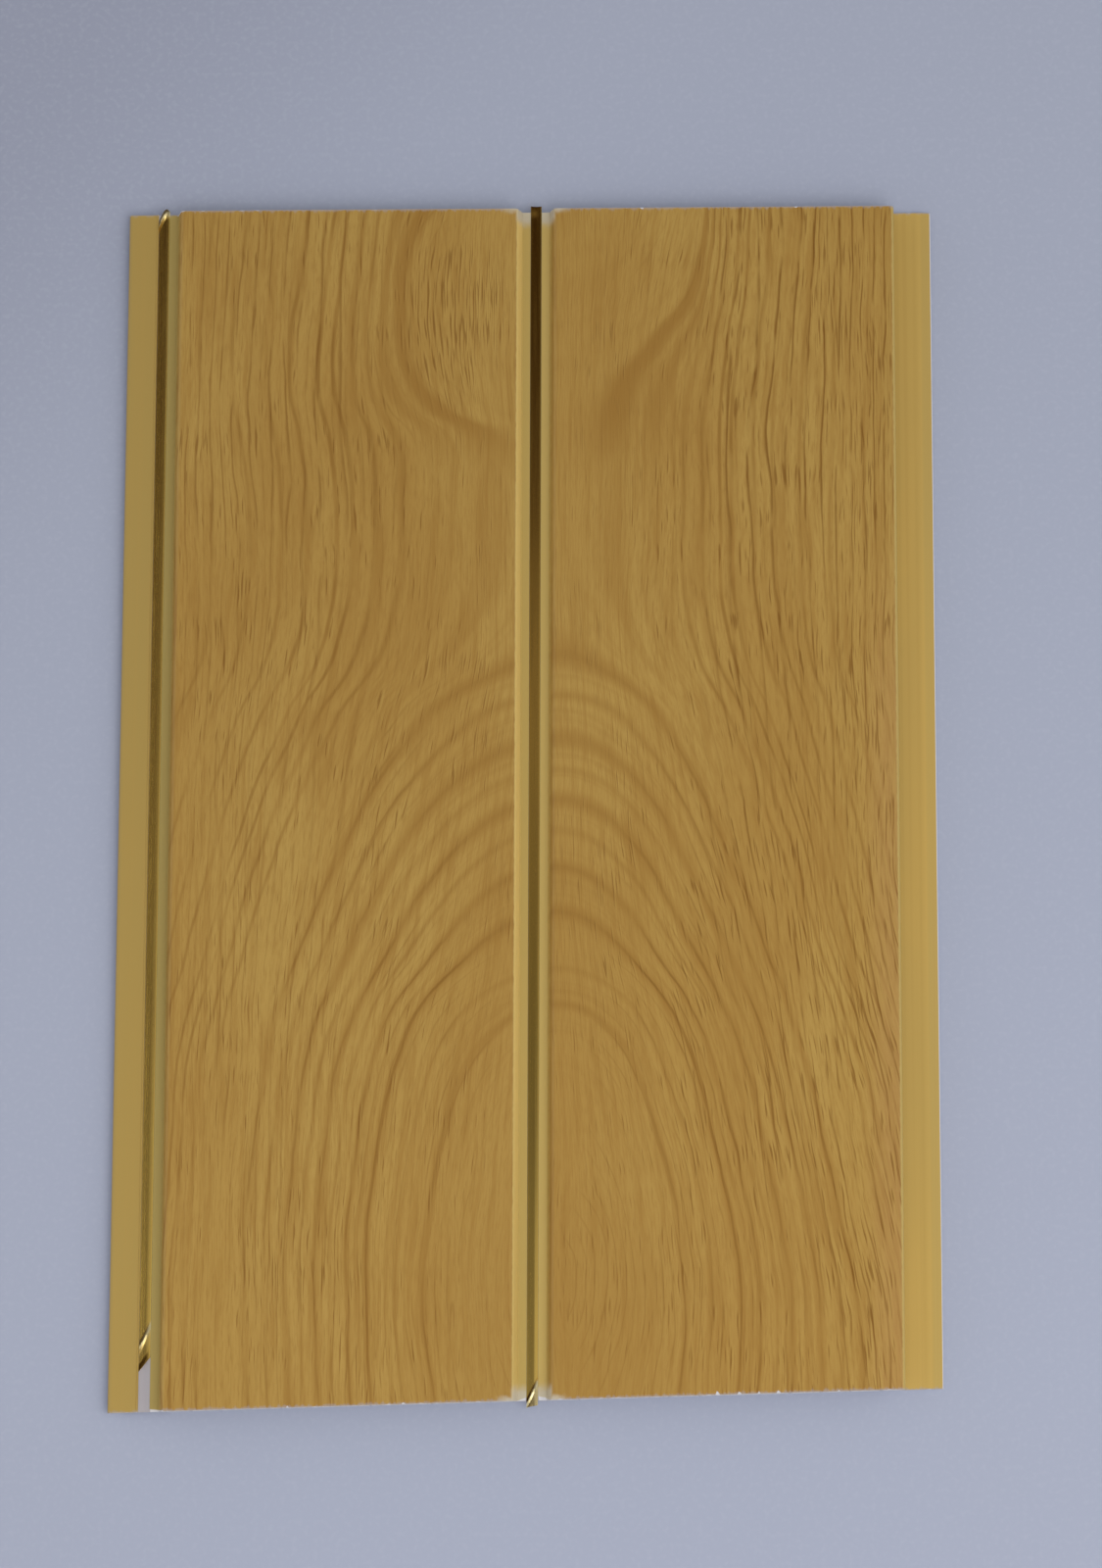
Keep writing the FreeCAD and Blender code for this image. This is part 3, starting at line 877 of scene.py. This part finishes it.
def oak_print():
    """Printed oak on the two boards, with plain film on their walls and ledges."""
    c = colours()
    material, w, shader = new_material("Oak print film", c.oak_mid)
    position = w.object_position()
    x, y, _ = w.axes(position)
    figure = w.use("Oak figure", Position=position)
    across, along, radius = figure["Across"], figure["Along"], figure["Radius"]
    rings = w.use("Oak rings", Radius=radius, Along=along)
    light, dark, pores = oak_lines(w, figure, x, y)
    slow = w.patches(x, 24.0, y, 8.0)
    flow = w.patches(across, 1 / 1.9, along, 1 / 30, detail=3.0, roughness=0.65)
    fuzz = w.patches(across, 2.2, along, 0.22, detail=3.0, roughness=0.6)
    bands = w.times(rings["Bands"], w.step(x, -75 * MM, -50 * MM, 0.35, 0.72))
    cores = w.times(rings["Lines"], w.step(figure["Steep"], 0.0, 1.0, 0.10, 0.38))
    red = w.times(w.step(x, 86 * MM, 95 * MM), w.step(y, 75 * MM, 20 * MM), 0.35)
    line_depth = w.add(0.64, w.times(w.step(y, 20 * MM, 90 * MM), 0.12))
    near_middle = w.times(w.step(radius, 48.0, 20.0), w.step(y, -60 * MM, -140 * MM), 0.45)
    wood = w.coats(
        c.oak_light,
        (w.step(slow, 0.35, 0.65), c.oak_mid),
        (w.step(flow, 0.42, 0.70, 0.0, 0.55), c.oak_brown),
        (w.step(fuzz, 0.42, 0.72, 0.0, 0.45), c.oak_brown),
        (bands, c.oak_brown), (cores, c.oak_dark), (red, c.oak_red),
        # Painted highlight: the light streaks beside the lines and pores
        (w.times(light, 0.40), c.oak_light), (w.times(dark, line_depth), c.oak_dark),
        (w.times(pores, 0.58), c.oak_dark), (near_middle, c.oak_brown))
    printed = printed_mask(w, x, y)
    ends = w.use("Sawn ends", Position=position, Width=0.9 * MM)
    # The films' sawn edges drawn grey: bare plastic, and painted shade
    tone = w.coats(groove_film(w, x, y), (printed, wood), (w.times(ends["Near"], 0.60), c.dust_and_shade),
                   (bruised_mask(w, position, x, ends["Gap"]), c.bruised))
    drawn = w.largest(dark, pores)
    rough = w.add(w.step(fuzz, 0.3, 0.7, 0.40, 0.50), w.times(drawn, 0.1))
    relief = w.add(w.minus(w.times(light, 0.6), drawn), w.times(fuzz, 0.35))
    finish_surface(w, shader, shaded(w, tone, y), rough, 0.4, 0.05 * MM,
                   w.times(relief, printed))
    shader.inputs["Specular IOR Level"].default_value = FILM_SPECULAR
    return material


def shaded(w, tone, y):
    """Painted shade: the film drawn a little darker towards the far end."""
    painted_far_shade = w.mix(1.0, tone, FAR_PAINTED_SHADE, blend="MULTIPLY")
    return w.mix(w.step(y, -0.30, 0.18), tone, painted_far_shade)


def oval_mask(w, x, y):
    """1 in the oval at the far end, where the print has many short pores."""
    squares = []
    for place, middle, half in zip((x, y), OVAL_MIDDLE, OVAL_HALF):
        off = w.over(w.minus(place, middle), half)
        squares.append(w.times(off, off))
    return w.step(w.math("SQRT", w.add(*squares)), 1.1, 0.6)


def bruised_mask(w, position, x, gap):
    """1 where the film beside the middle groove has gone white towards the ends."""
    off = w.absolute(w.minus(x, grooves()[1]))
    depth = w.add(gap, w.times(w.noise(position, scale=600.0), 1.6 * MM))
    beside = w.times(w.step(depth, 2.6 * MM, 5.6 * MM, 0.85, 0.0),
                     w.step(off, 5.6 * MM, 4.6 * MM))
    along_end = w.times(w.step(depth, 1.0 * MM, 2.6 * MM, 0.7, 0.0),
                        w.step(off, 10.0 * MM, 6.0 * MM))
    return w.largest(beside, along_end)


def printed_mask(w, x, y):
    """1 on the printed faces of the two boards, with a slightly jagged edge."""
    s = sizes()
    jag = w.minus(w.noise(w.vector(0.0, w.times(y, 420.0))), 0.5)
    place = w.add(x, w.times(jag, PRINT_JAG))
    first, second = grooves()
    foot = s.seat_width / 2 + s.ledge_width
    start_off = foot + PRINT_SOFT
    masks = []
    for start, end, fading in (
            (first + start_off, second - foot - s.wall_run, 0.3 * MM),
            (second + start_off, side_wall() - 0.4 * MM, 0.5 * MM)):
        rise = w.step(place, start - PRINT_SOFT, start + PRINT_SOFT)
        masks.append(w.times(rise, w.step(place, end, end - fading)))
    return w.largest(*masks)


def plain_film():
    """Dull yellow film without print, on the tongue and the flange, with painted shade towards
    the tongue and on the flange's rim.
    """
    c = colours()
    material, w, shader = new_material("Plain film", c.plain)
    position = w.object_position()
    x, y, _ = w.axes(position)
    die = w.use("Die lines", Position=position, Pitch=1.1 * MM)["Height"]
    ends = w.use("Sawn ends", Position=position, Width=0.8 * MM)
    slow = w.patches(x, 60.0, y, 9.0)
    # Painted shade on the flange's thin rim, drawn darker and greenish
    rim = w.step(x, HIGH.x - 3.0 * MM, HIGH.x - 2.2 * MM, 0.0, 0.3)
    # Painted shade: the film darkens across from the flange to the tongue
    tone = w.coats(
        c.shaded_tongue_film,
        (w.step(x, -90 * MM, 90 * MM), c.plain),
        (w.step(slow, 0.35, 0.65, 0.0, 0.2), c.greenish_tint_and_shade),
        (w.step(die, 0.45, 0.70, 0.0, 0.22), c.oak_light),
        # The film's sawn edges drawn grey: bare plastic, and painted shade
        (rim, c.greenish_tint_and_shade), (w.times(ends["Near"], 0.5), c.dust_and_shade))
    rough = w.step(slow, 0.3, 0.7, 0.38, 0.46)
    finish_surface(w, shader, shaded(w, tone, y), rough, 0.3, 0.02 * MM, die)
    shader.inputs["Specular IOR Level"].default_value = FILM_SPECULAR
    return material


def white_pvc():
    """Bare white plastic: fine die lines along it, a chalky sawn end greyed by dust and
    painted shade, and painted shade on the seats' floors.
    """
    c = colours()
    material, w, shader = new_material("White plastic", c.pvc)
    position = w.object_position()
    x, _, z = w.axes(position)
    die = w.use("Die lines", Position=position, Pitch=1.6 * MM)["Height"]
    near = w.use("Sawn ends", Position=position, Width=1.2 * MM)["Near"]
    dust = w.noise(position, scale=1400.0, detail=3.0)
    # The sawn end greyed in patches: dust, and painted shade
    sawn = w.mix(w.step(dust, 0.35, 0.75, 0.2, 0.8), c.pvc, c.dust_and_shade)
    # Painted shade: the seats' floors drawn grey
    tone = w.coats(c.pvc, (w.step(die, 0.45, 0.7, 0.0, 0.3), PLASTIC_SHADE),
                   (w.times(near, 0.6), sawn), (w.times(seat_mask(w, x, z), 0.9), c.dust_and_shade))
    finish_surface(w, shader, tone, w.step(near, 0.0, 1.0, 0.36, 0.7), 0.4, 0.03 * MM,
                   w.add(die, w.times(dust, near, 1.5)))
    return material


def seat_mask(w, x, z):
    """1 on the floors of the two seats."""
    s = sizes()
    off = w.math("MINIMUM", *[w.absolute(w.minus(x, groove)) for groove in grooves()])
    across = w.step(off, s.seat_width * 0.6, s.seat_width * 0.5)
    return w.times(across, w.math("GREATER_THAN", z, s.ledge * 0.8))


def gold_foil():
    """Bright gold foil with fine lengthwise scratches, gone pale along its creases, where the
    pale is also a painted highlight for the creases' glint.
    """
    c = colours()
    material, w, shader = new_material("Gold foil", c.gold)
    x, y, _ = w.axes(w.object_position())
    scratches = w.patches(x, 9000.0, y, 35.0, detail=3.0, roughness=0.6)
    crease_glint_share = w.node("ShaderNodeAttribute", attribute_name="crease_glint").outputs["Fac"]
    # Whitened foil at the creases, partly a painted highlight for their glint
    tone = w.coats(c.gold, (w.times(crease_glint_share, 0.85), c.crease_glint),
                   (w.step(w.patches(x, 500.0, y, 30.0), 0.5, 0.8, 0.0, 0.25), FOIL_SHADE))
    rough = w.add(w.step(scratches, 0.4, 0.75, 0.10, 0.22), w.times(crease_glint_share, 0.18),
                  w.step(x, -20 * MM, -60 * MM, 0.0, 0.11))
    finish_surface(w, shader, tone, rough, 0.25, 0.01 * MM, scratches)
    shader.inputs["Metallic"].default_value = 1.0
    return material


def floor_finish():
    """Pale, very lightly mottled floor, with painted shade towards the far end and the far
    left corner.
    """
    c = colours()
    material, w, shader = new_material("Pale floor", c.floor)
    position = w.object_position()
    x, y, _ = w.axes(position)
    tone = w.coats(
        c.floor,
        (w.step(w.noise(position, scale=3.0), 0.3, 0.7, 0.0, 0.3), FLOOR_MOTTLE),
        # Painted shade: darker towards the far end and the far left corner
        (w.step(y, -0.2, 0.2, 0.0, 0.5), FLOOR_FAR_SHADE),
        (w.times(w.step(w.minus(y, x), 0.18, 0.36), 0.8), FLOOR_CORNER_SHADE),
        (w.step(w.noise(position, scale=700.0), 0.45, 0.75, 0.0, 0.12), FLOOR_GRIT))
    w.feed(shader.inputs["Base Color"], tone)
    shader.inputs["Roughness"].default_value = 0.75
    return material


# Geometry node trees

def use_tree(obj, tree, **values):
    """Add the tree to the object as a modifier and set its inputs by their identifiers."""
    modifier = obj.modifiers.new(tree.name, "NODES")
    modifier.node_group = tree
    for item in tree.interface.items_tree:
        if item.in_out == "INPUT" and item.name in values:
            modifier[item.identifier] = values[item.name]


def closed_by_extrusion(w, faces, offset):
    """Closed solid between a sheet of faces and its copy at the offset."""
    raised = w.shape("ExtrudeMesh", {"Mesh": faces, "Offset": offset, "Offset Scale": 1.0,
                                     "Individual": False}, mode="FACES")
    base = w.shape("FlipFaces", {"Mesh": faces})
    return w.shape("MergeByDistance", {"Geometry": w.join(base, raised), "Distance": MERGE})


def move_and_finish(w, leave, solid, offset, material):
    """Last steps of a tree: move the points, and give the shape its material."""
    moved = w.shape("SetPosition", {"Geometry": solid, "Offset": offset})
    real = w.shape("RealizeInstances", {"Geometry": moved})
    w.feed(leave["Geometry"], w.shape("SetMaterial", {"Geometry": real, "Material": material}))
    return w.tree


def extrusion_tree(material):
    """Fills the section between its outline and its cells and draws it out to a length."""
    w, entry, leave = new_tree(
        "Hollow extrusion",
        ["Geometry", "Length", "Far end", "End slant", "Left edge", "Full width", "Cell pitch",
         "Cells", "Rib", "Cell height", "Cell middle", "First cell", "Board pitch",
         "Saw roughness"], ["Geometry"], "GeometryNodeTree")
    cell = w.shape("CurvePrimitiveQuadrilateral", {
        "Width": w.minus(entry["Cell pitch"], entry["Rib"]), "Height": entry["Cell height"]})
    rounded = w.shape("FilletCurve", {"Curve": cell, "Radius": CELL_FILLET, "Count": 3},
                      mode="POLY")
    curves = [w.shape("MeshToCurve", {"Mesh": entry["Geometry"]})]
    for board in (0.0, 1.0):
        start = w.add(entry["First cell"], w.times(entry["Board pitch"], board))
        row = w.shape("MeshLine", {
            "Count": entry["Cells"], "Start Location": w.vector(start, entry["Cell middle"]),
            "Offset": w.vector(entry["Cell pitch"])})
        copies = w.shape("InstanceOnPoints", {"Points": row, "Instance": rounded})
        curves.append(w.shape("RealizeInstances", {"Geometry": copies}))
    section = w.shape("FillCurve", {"Curve": w.join(*curves)}, mode="TRIANGLES")
    solid = closed_by_extrusion(w, section, w.vector(0.0, 0.0, entry["Length"]))
    turned = w.shape("Transform", {
        "Geometry": solid, "Translation": w.vector(0.0, entry["Far end"]),
        "Rotation": (math.pi / 2, 0.0, 0.0)})
    x, y, z = w.axes(w.shape("InputPosition", {}))
    near = w.math("LESS_THAN", y, 0.0)
    part = w.over(w.minus(x, entry["Left edge"]), entry["Full width"])
    rough = w.times(w.minus(w.patches(x, 1300.0, z, 1300.0), 0.35), entry["Saw roughness"])
    near_shift = w.times(w.add(w.times(entry["End slant"], part), rough), near)
    far_shift = w.times(rough, w.minus(near, 1.0))
    return move_and_finish(w, leave, turned, w.vector(0.0, w.add(near_shift, far_shift)),
                           material)


def strip_tree(material):
    """Draws the hollow section of a foil strip along a straight path. The path's own points
    carry the lift, the slant and the hook of each row, and how pale its gold has gone,
    partly a painted highlight for the creases' glint."""
    w, entry, leave = new_tree(
        "Foil strip", ["Geometry", "Middle", "Half width", "Hollow radius", "Thickness"],
        ["Geometry"], "GeometryNodeTree")
    path = w.shape("MeshToCurve", {"Mesh": entry["Geometry"]})
    upright = w.shape("SetCurveNormal", {"Curve": path}, mode="Z_UP")
    half_angle = w.math("ARCSINE", w.over(entry["Half width"], entry["Hollow radius"]))
    arc = w.shape("CurveArc", {
        "Resolution": 13, "Radius": entry["Hollow radius"],
        "Start Angle": w.minus(math.pi / 2, half_angle),
        "Sweep Angle": w.times(half_angle, 2.0)}, mode="RADIUS")
    drop = w.vector(0.0, w.times(entry["Hollow radius"], -1.0))
    profile = w.shape("Transform", {"Geometry": arc, "Translation": drop})
    band = w.shape("CurveToMesh", {"Curve": upright, "Profile Curve": profile})
    solid = closed_by_extrusion(w, band, w.vector(0.0, 0.0, entry["Thickness"]))
    x, _, _ = w.axes(w.shape("InputPosition", {}))
    lift, slant, hook = [w.shape("InputNamedAttribute", {"Name": label}, data_type="FLOAT")
                         for label in ("lift", "slant", "hook")]
    off = w.minus(x, entry["Middle"])
    bent = w.times(w.times(hook, 1 / MM), w.times(off, off))
    along = w.add(w.times(off, slant), bent)
    side = w.step(off, -0.2 * MM, 1.0 * MM, MM, 0.25 * MM)
    return move_and_finish(w, leave, solid, w.vector(0.0, along, w.times(lift, side)), material)


# Pieces

def body_outline():
    """Outline of the plastic: lower than the panel's face by the film where film covers it."""
    s = sizes()
    covered = [inset(run, s.film) for run in
               (tongue_run(), left_board_run(), right_board_run(), flange_run())]
    tongue, left, right, flange = covered
    first, second = grooves()
    slot_back = side_wall() - s.slot_depth
    slot = [(slot_back, s.slot_roof), (slot_back, s.flange_top),
            (side_wall() - s.flange_top, s.flange_top)]
    middle = (s.tongue_floor + s.ledge) / 2
    rim = (s.flange_top - s.taper_drop) / 3
    step = LOW.x + s.back_step
    under = arc_points((LOW.x + s.tongue_radius, s.tongue_floor + s.tongue_radius),
                       s.tongue_radius, 270, 180)
    back = [(HIGH.x, 2 * rim), (HIGH.x, 0.0), (step, 0.0), (step, s.tongue_floor)]
    top = tongue + seat_points(first) + left + seat_points(second) + right + slot + flange
    return fine(top, SAW_STEP) + back + under + [(LOW.x, middle)]


def odd_cells():
    """The cells that differ from the rows of equal ones."""
    s = sizes()
    first, second = grooves()
    roof = HIGH.z - s.skin
    raised = s.tongue_floor + s.skin
    under_ledge = s.ledge - s.skin
    under_seat = seat_floor() - s.skin
    foot = s.seat_width / 2 + s.ledge_width + s.skin
    top = foot + s.wall_run
    half_seat = s.seat_width / 2
    step = LOW.x + s.back_step + s.skin
    rib = s.first_rib - s.rib / 2
    last_left = first + s.first_rib + s.cells * cell_pitch() + s.rib / 2
    slot_back = side_wall() - s.slot_depth - s.skin + s.rib
    inner_wall = side_wall() - s.skin
    corner = s.edge / 2

    def box(left, right, bottom, top_edge):
        return [(left, bottom), (right, bottom), (right, top_edge), (left, top_edge)]

    return [
        box(LOW.x + s.tongue_wall, first - half_seat - s.skin, raised, under_ledge),
        box(first - half_seat - s.skin + s.rib, first + foot - s.rib, raised, under_seat),
        [(first + foot, raised), (step, raised), (step, s.skin), (first + rib, s.skin),
         (first + rib, roof), (first + top, roof), (first + foot, under_ledge)],
        [(last_left, s.skin), (second - foot, s.skin), (second - foot, under_ledge),
         (second - top, roof), (last_left, roof)],
        box(second - foot + s.rib, second + foot - s.rib, s.skin, under_seat),
        [(second + foot, s.skin), (second + rib, s.skin), (second + rib, roof),
         (second + top, roof), (second + foot, under_ledge)],
        [(slot_back, s.slot_roof + s.skin), (inner_wall, s.slot_roof + s.skin),
         (inner_wall, roof - corner), (inner_wall - corner, roof), (slot_back, roof)],
    ]


class PANEL_OT_body(bpy.types.Operator):
    """Build the hollow white extrusion"""
    bl_idname = "panel.body"
    bl_label = "Hollow extrusion"

    def execute(self, context):
        s = sizes()
        section = edge_mesh("panel_body", [body_outline()] + odd_cells())
        use_tree(section, extrusion_tree(white_pvc()), **{
            "Length": HIGH.y - LOW.y, "Far end": HIGH.y, "End slant": s.end_slant,
            "Left edge": LOW.x, "Full width": HIGH.x - LOW.x, "Cell pitch": cell_pitch(),
            "Cells": s.cells, "Rib": s.rib, "Cell height": HIGH.z - 2 * s.skin,
            "Cell middle": HIGH.z / 2, "Board pitch": s.board_pitch,
            "Saw roughness": SAW_ROUGHNESS,
            "First cell": grooves()[0] + s.first_rib + cell_pitch() / 2})
        finish_piece(baked(section), "film", "panel")
        return {"FINISHED"}


def lay_films(material, *films):
    """Film shells of one material, each from its name, its run, its seed and its sinking."""
    for name, run, seed, sunk in films:
        film = film_shell(name, run, seed, sunk)
        film.data.materials.append(material)
        finish_piece(film, "film")
    return {"FINISHED"}


class PANEL_OT_board_films(bpy.types.Operator):
    """Lay the printed oak film on the two boards"""
    bl_idname = "panel.board_films"
    bl_label = "Printed board films"

    def execute(self, context):
        first, second = grooves()
        return lay_films(oak_print(),
                         ("film_left_board", left_board_run(), 1.0, sink_marks(first)),
                         ("film_right_board", right_board_run(), 2.0, sink_marks(second)))


class PANEL_OT_plain_films(bpy.types.Operator):
    """Lay the plain film on the tongue and the nailing flange"""
    bl_idname = "panel.plain_films"
    bl_label = "Plain edge films"

    def execute(self, context):
        return lay_films(plain_film(), ("film_tongue", tongue_run(), 3.0, None),
                         ("film_flange", flange_run(), 4.0, None))


# Each strip, from its near end to its far end: place along the panel and lift over the seat in
# millimetres, slant and hook of its rows, and how pale its gold has gone, partly a painted
# highlight for the creases' glint
LEFT_STRIP = [
    (-147.9, 0.45, 1.31, 0.0, 0.0), (-145.5, 0.05, 1.6, 0.0, 0.0),
    (-142.7, 0.0, 2.0, 0.0, 0.1), (-140.7, 0.22, 2.08, 0.0, 0.8),
    (-139.0, 0.0, 2.0, 0.0, 0.0), (-135.0, 0.0, 1.0, 0.0, 0.0), (-128.0, 0.0, 0.0, 0.0, 0.0),
    (146.0, 0.0, 0.0, 0.0, 0.0), (152.0, 0.0, 0.7, -0.5, 0.0), (157.0, 0.0, 1.33, -0.82, 0.0),
    (159.0, 0.50, 1.38, -0.86, 1.0), (160.0, 0.34, 1.10, -1.05, 0.6),
]
MIDDLE_STRIP = [
    (-158.4, 0.06, 0.2, 0.0, 0.6), (-156.9, 0.02, 1.3, 0.0, 0.6),
    (-156.4, 0.0, 1.8, 0.0, 0.6), (-154.9, 0.26, 2.1, 0.0, 1.0), (-153.5, 0.0, 2.0, 0.0, 0.0),
    (-149.0, 0.0, 1.0, 0.0, 0.0), (-142.0, 0.0, 0.0, 0.0, 0.0), (150.0, 0.0, 0.0, 0.0, 0.0),
    (156.5, 0.0, 0.0, 0.0, 0.0), (160.3, 0.10, 0.0, 0.0, 0.0),
]
KNOT_GAP = 0.3
LONG_GAP = 12.0
LONG_RUN = 40.0


def eased_rows(knots):
    """Rows between the knots of a strip, eased so that nothing swings past a knot."""
    rows = [knots[0]]
    for start, end in zip(knots, knots[1:]):
        length = end[0] - start[0]
        gap = LONG_GAP if length > LONG_RUN else KNOT_GAP
        count = max(1, round(length / gap))
        for number in range(1, count + 1):
            part = number / count
            ease = part * part * (3 - 2 * part)
            row = [a + (b - a) * ease for a, b in zip(start, end)]
            row[0] = start[0] + length * part
            rows.append(tuple(row))
    return rows


class PANEL_OT_strips(bpy.types.Operator):
    """Lay the two gold foil strips in their seats"""
    bl_idname = "panel.strips"
    bl_label = "Gold foil strips"

    def execute(self, context):
        s = sizes()
        tree = strip_tree(gold_foil())
        floor = seat_floor() + FOIL_LIFT
        for name, groove, points in (("strip_left", grooves()[0], LEFT_STRIP),
                                     ("strip_middle", grooves()[1], MIDDLE_STRIP)):
            rows = eased_rows(points)
            path = edge_mesh(name, [[(groove, row[0] * MM, floor) for row in rows]],
                             closed=False)
            for column, label in enumerate(("lift", "slant", "hook", "crease_glint"), 1):
                attribute = path.data.attributes.new(label, "FLOAT", "POINT")
                attribute.data.foreach_set("value", [row[column] for row in rows])
            use_tree(path, tree, **{
                "Middle": groove, "Half width": s.seat_width / 2 - FOIL_PLAY,
                "Hollow radius": hollow_radius(), "Thickness": s.foil})
            finish_piece(baked(path), "gold_foil", "gold_" + name)
        return {"FINISHED"}


# Stage

FLOOR_HALF = 8.0
FLOOR_GAP = 0.1 * MM
LAMP_PLACE = (0.44, -0.42, 1.30)
LAMP_SIZE = 1.1
CAMERA_PLACE = (0.0457, -0.1853, 1.1477)
CAMERA_TURN = (9.365, 1.942, 0.160)

# What the foil mirrors: place overhead, from straight up towards the far side, and its colour
CEILING = [
    (0.02, (150, 149, 150)), (0.06, (126, 124, 122)), (0.11, (104, 101, 92)),
    (0.185, (146, 134, 124)), (0.205, (138, 125, 114)), (0.218, (64, 48, 36)),
    (0.28, (54, 39, 28)),
]
LEFT_CEILING = as_seen(214, 214, 218)
LEFT_WALL = as_seen(222, 226, 232)
RIGHT_WALL = as_seen(206, 210, 222)
BRIGHT_PANE = (4.6, 4.5, 4.2, 1.0)

# Light from overhead and from the two sides
SKY_OVERHEAD = (0.36, 0.36, 0.36, 1.0)
SKY_LEFT = (1.15, 1.15, 1.15, 1.0)
SKY_RIGHT = (0.95, 0.95, 0.95, 1.0)


class PANEL_OT_stage(bpy.types.Operator):
    """Set up the pale floor, the soft light and the camera"""
    bl_idname = "panel.stage"
    bl_label = "Floor, light and camera"

    def execute(self, context):
        settings = context.scene.panel_stage
        floor = flat_square("floor", FLOOR_HALF, LOW.z - FLOOR_GAP)
        floor.data.materials.append(floor_finish())
        room_light(settings.sky)
        ceiling_light(settings.ceiling)
        context.scene.camera = camera(settings.lens)
        context.scene.view_settings.view_transform = "Standard"
        return {"FINISHED"}


def flat_square(name, half, height):
    spots = [(-half, -half, height), (half, -half, height), (half, half, height),
             (-half, half, height)]
    return plain_object(name, spots, [], [(0, 1, 2, 3)])


def room_light(strength):
    """Soft light, stronger from both sides, and the room that gloss and foil mirror."""
    world = bpy.data.worlds.new("Room")
    bpy.context.scene.world = world
    world.use_nodes = True
    w = Wiring(world.node_tree)
    x, y, z = w.axes(w.node("ShaderNodeTexCoord").outputs["Generated"])
    ramp = w.node("ShaderNodeValToRGB", {"Fac": y})
    stops = ramp.color_ramp.elements
    for place, _ in CEILING[2:]:
        stops.new(place)
    for stop, (place, tone) in zip(stops, CEILING):
        stop.position = place
        stop.color = as_seen(*tone)
    walls = w.step(w.add(z, w.times(y, 0.45)), 0.84, 0.35)
    wall_tone = w.mix(w.step(x, -0.6, 0.6), LEFT_WALL, RIGHT_WALL)
    left = w.times(w.step(x, -0.22, -0.50), w.step(y, 0.085, 0.04))
    pane = w.times(w.step(x, 0.04, 0.12), w.step(y, -0.22, -0.30), w.step(z, 0.45, 0.6))
    room = w.coats(ramp.outputs[0], (walls, wall_tone), (left, LEFT_CEILING),
                   (pane, BRIGHT_PANE))
    side_tone = w.mix(w.step(x, -0.2, 0.2), SKY_LEFT, SKY_RIGHT)
    sky = w.mix(w.step(w.absolute(x), 0.35, 0.80), SKY_OVERHEAD, side_tone)
    path = w.node("ShaderNodeLightPath").outputs
    seen = w.largest(path["Is Glossy Ray"], path["Is Camera Ray"])
    background = world.node_tree.nodes["Background"]
    w.feed(background.inputs["Color"], w.mix(seen, sky, room))
    background.inputs["Strength"].default_value = strength


def ceiling_light(power):
    """Square soft lamp that faces the panel, and that gloss and foil don't mirror."""
    light = bpy.data.lights.new("ceiling_light", "AREA")
    light.shape = "SQUARE"
    light.size = LAMP_SIZE
    light.energy = power
    obj = new_object("ceiling_light", light)
    obj.visible_glossy = False
    obj.location = LAMP_PLACE
    obj.rotation_euler = (-Vector(LAMP_PLACE)).to_track_quat("-Z", "Y").to_euler()


def camera(lens):
    """Camera a little over a metre above the near end, turned towards the panel's middle."""
    data = bpy.data.cameras.new("camera")
    data.lens = lens
    obj = new_object("camera", data)
    obj.location = CAMERA_PLACE
    obj.rotation_euler = [math.radians(angle) for angle in CAMERA_TURN]
    return obj


class PANEL_PT_sidebar(bpy.types.Panel):
    """Steps that build the ceiling panel"""
    bl_idname = "PANEL_PT_sidebar"
    bl_label = "Ceiling panel"
    bl_space_type = "VIEW_3D"
    bl_region_type = "UI"
    bl_category = "Ceiling panel"

    def draw(self, context):
        for operator in OPERATORS:
            self.layout.operator(operator.bl_idname)
        for group in GROUPS:
            settings = getattr(context.scene, group)
            box = self.layout.box()
            for name in settings.__annotations__:
                box.prop(settings, name)


OPERATORS = (PANEL_OT_body, PANEL_OT_board_films, PANEL_OT_plain_films, PANEL_OT_strips,
             PANEL_OT_stage)
GROUPS = {"panel_sizes": PanelSizes, "panel_colours": PanelColours,
          "panel_stage": StageSettings}


def register():
    for group in GROUPS.values():
        bpy.utils.register_class(group)
    for operator in OPERATORS:
        bpy.utils.register_class(operator)
    bpy.utils.register_class(PANEL_PT_sidebar)
    for name, group in GROUPS.items():
        setattr(bpy.types.Scene, name, PointerProperty(type=group))


def unregister():
    for name in GROUPS:
        delattr(bpy.types.Scene, name)
    bpy.utils.unregister_class(PANEL_PT_sidebar)
    for operator in reversed(OPERATORS):
        bpy.utils.unregister_class(operator)
    for group in reversed(GROUPS.values()):
        bpy.utils.unregister_class(group)


def corners(box):
    return [list(corner) for corner in box]


def main():
    register()
    bpy.ops.panel.body()
    bpy.ops.panel.board_films()
    bpy.ops.panel.plain_films()
    bpy.ops.panel.strips()
    bpy.ops.panel.stage()
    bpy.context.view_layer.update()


if __name__ == "__main__":
    main()
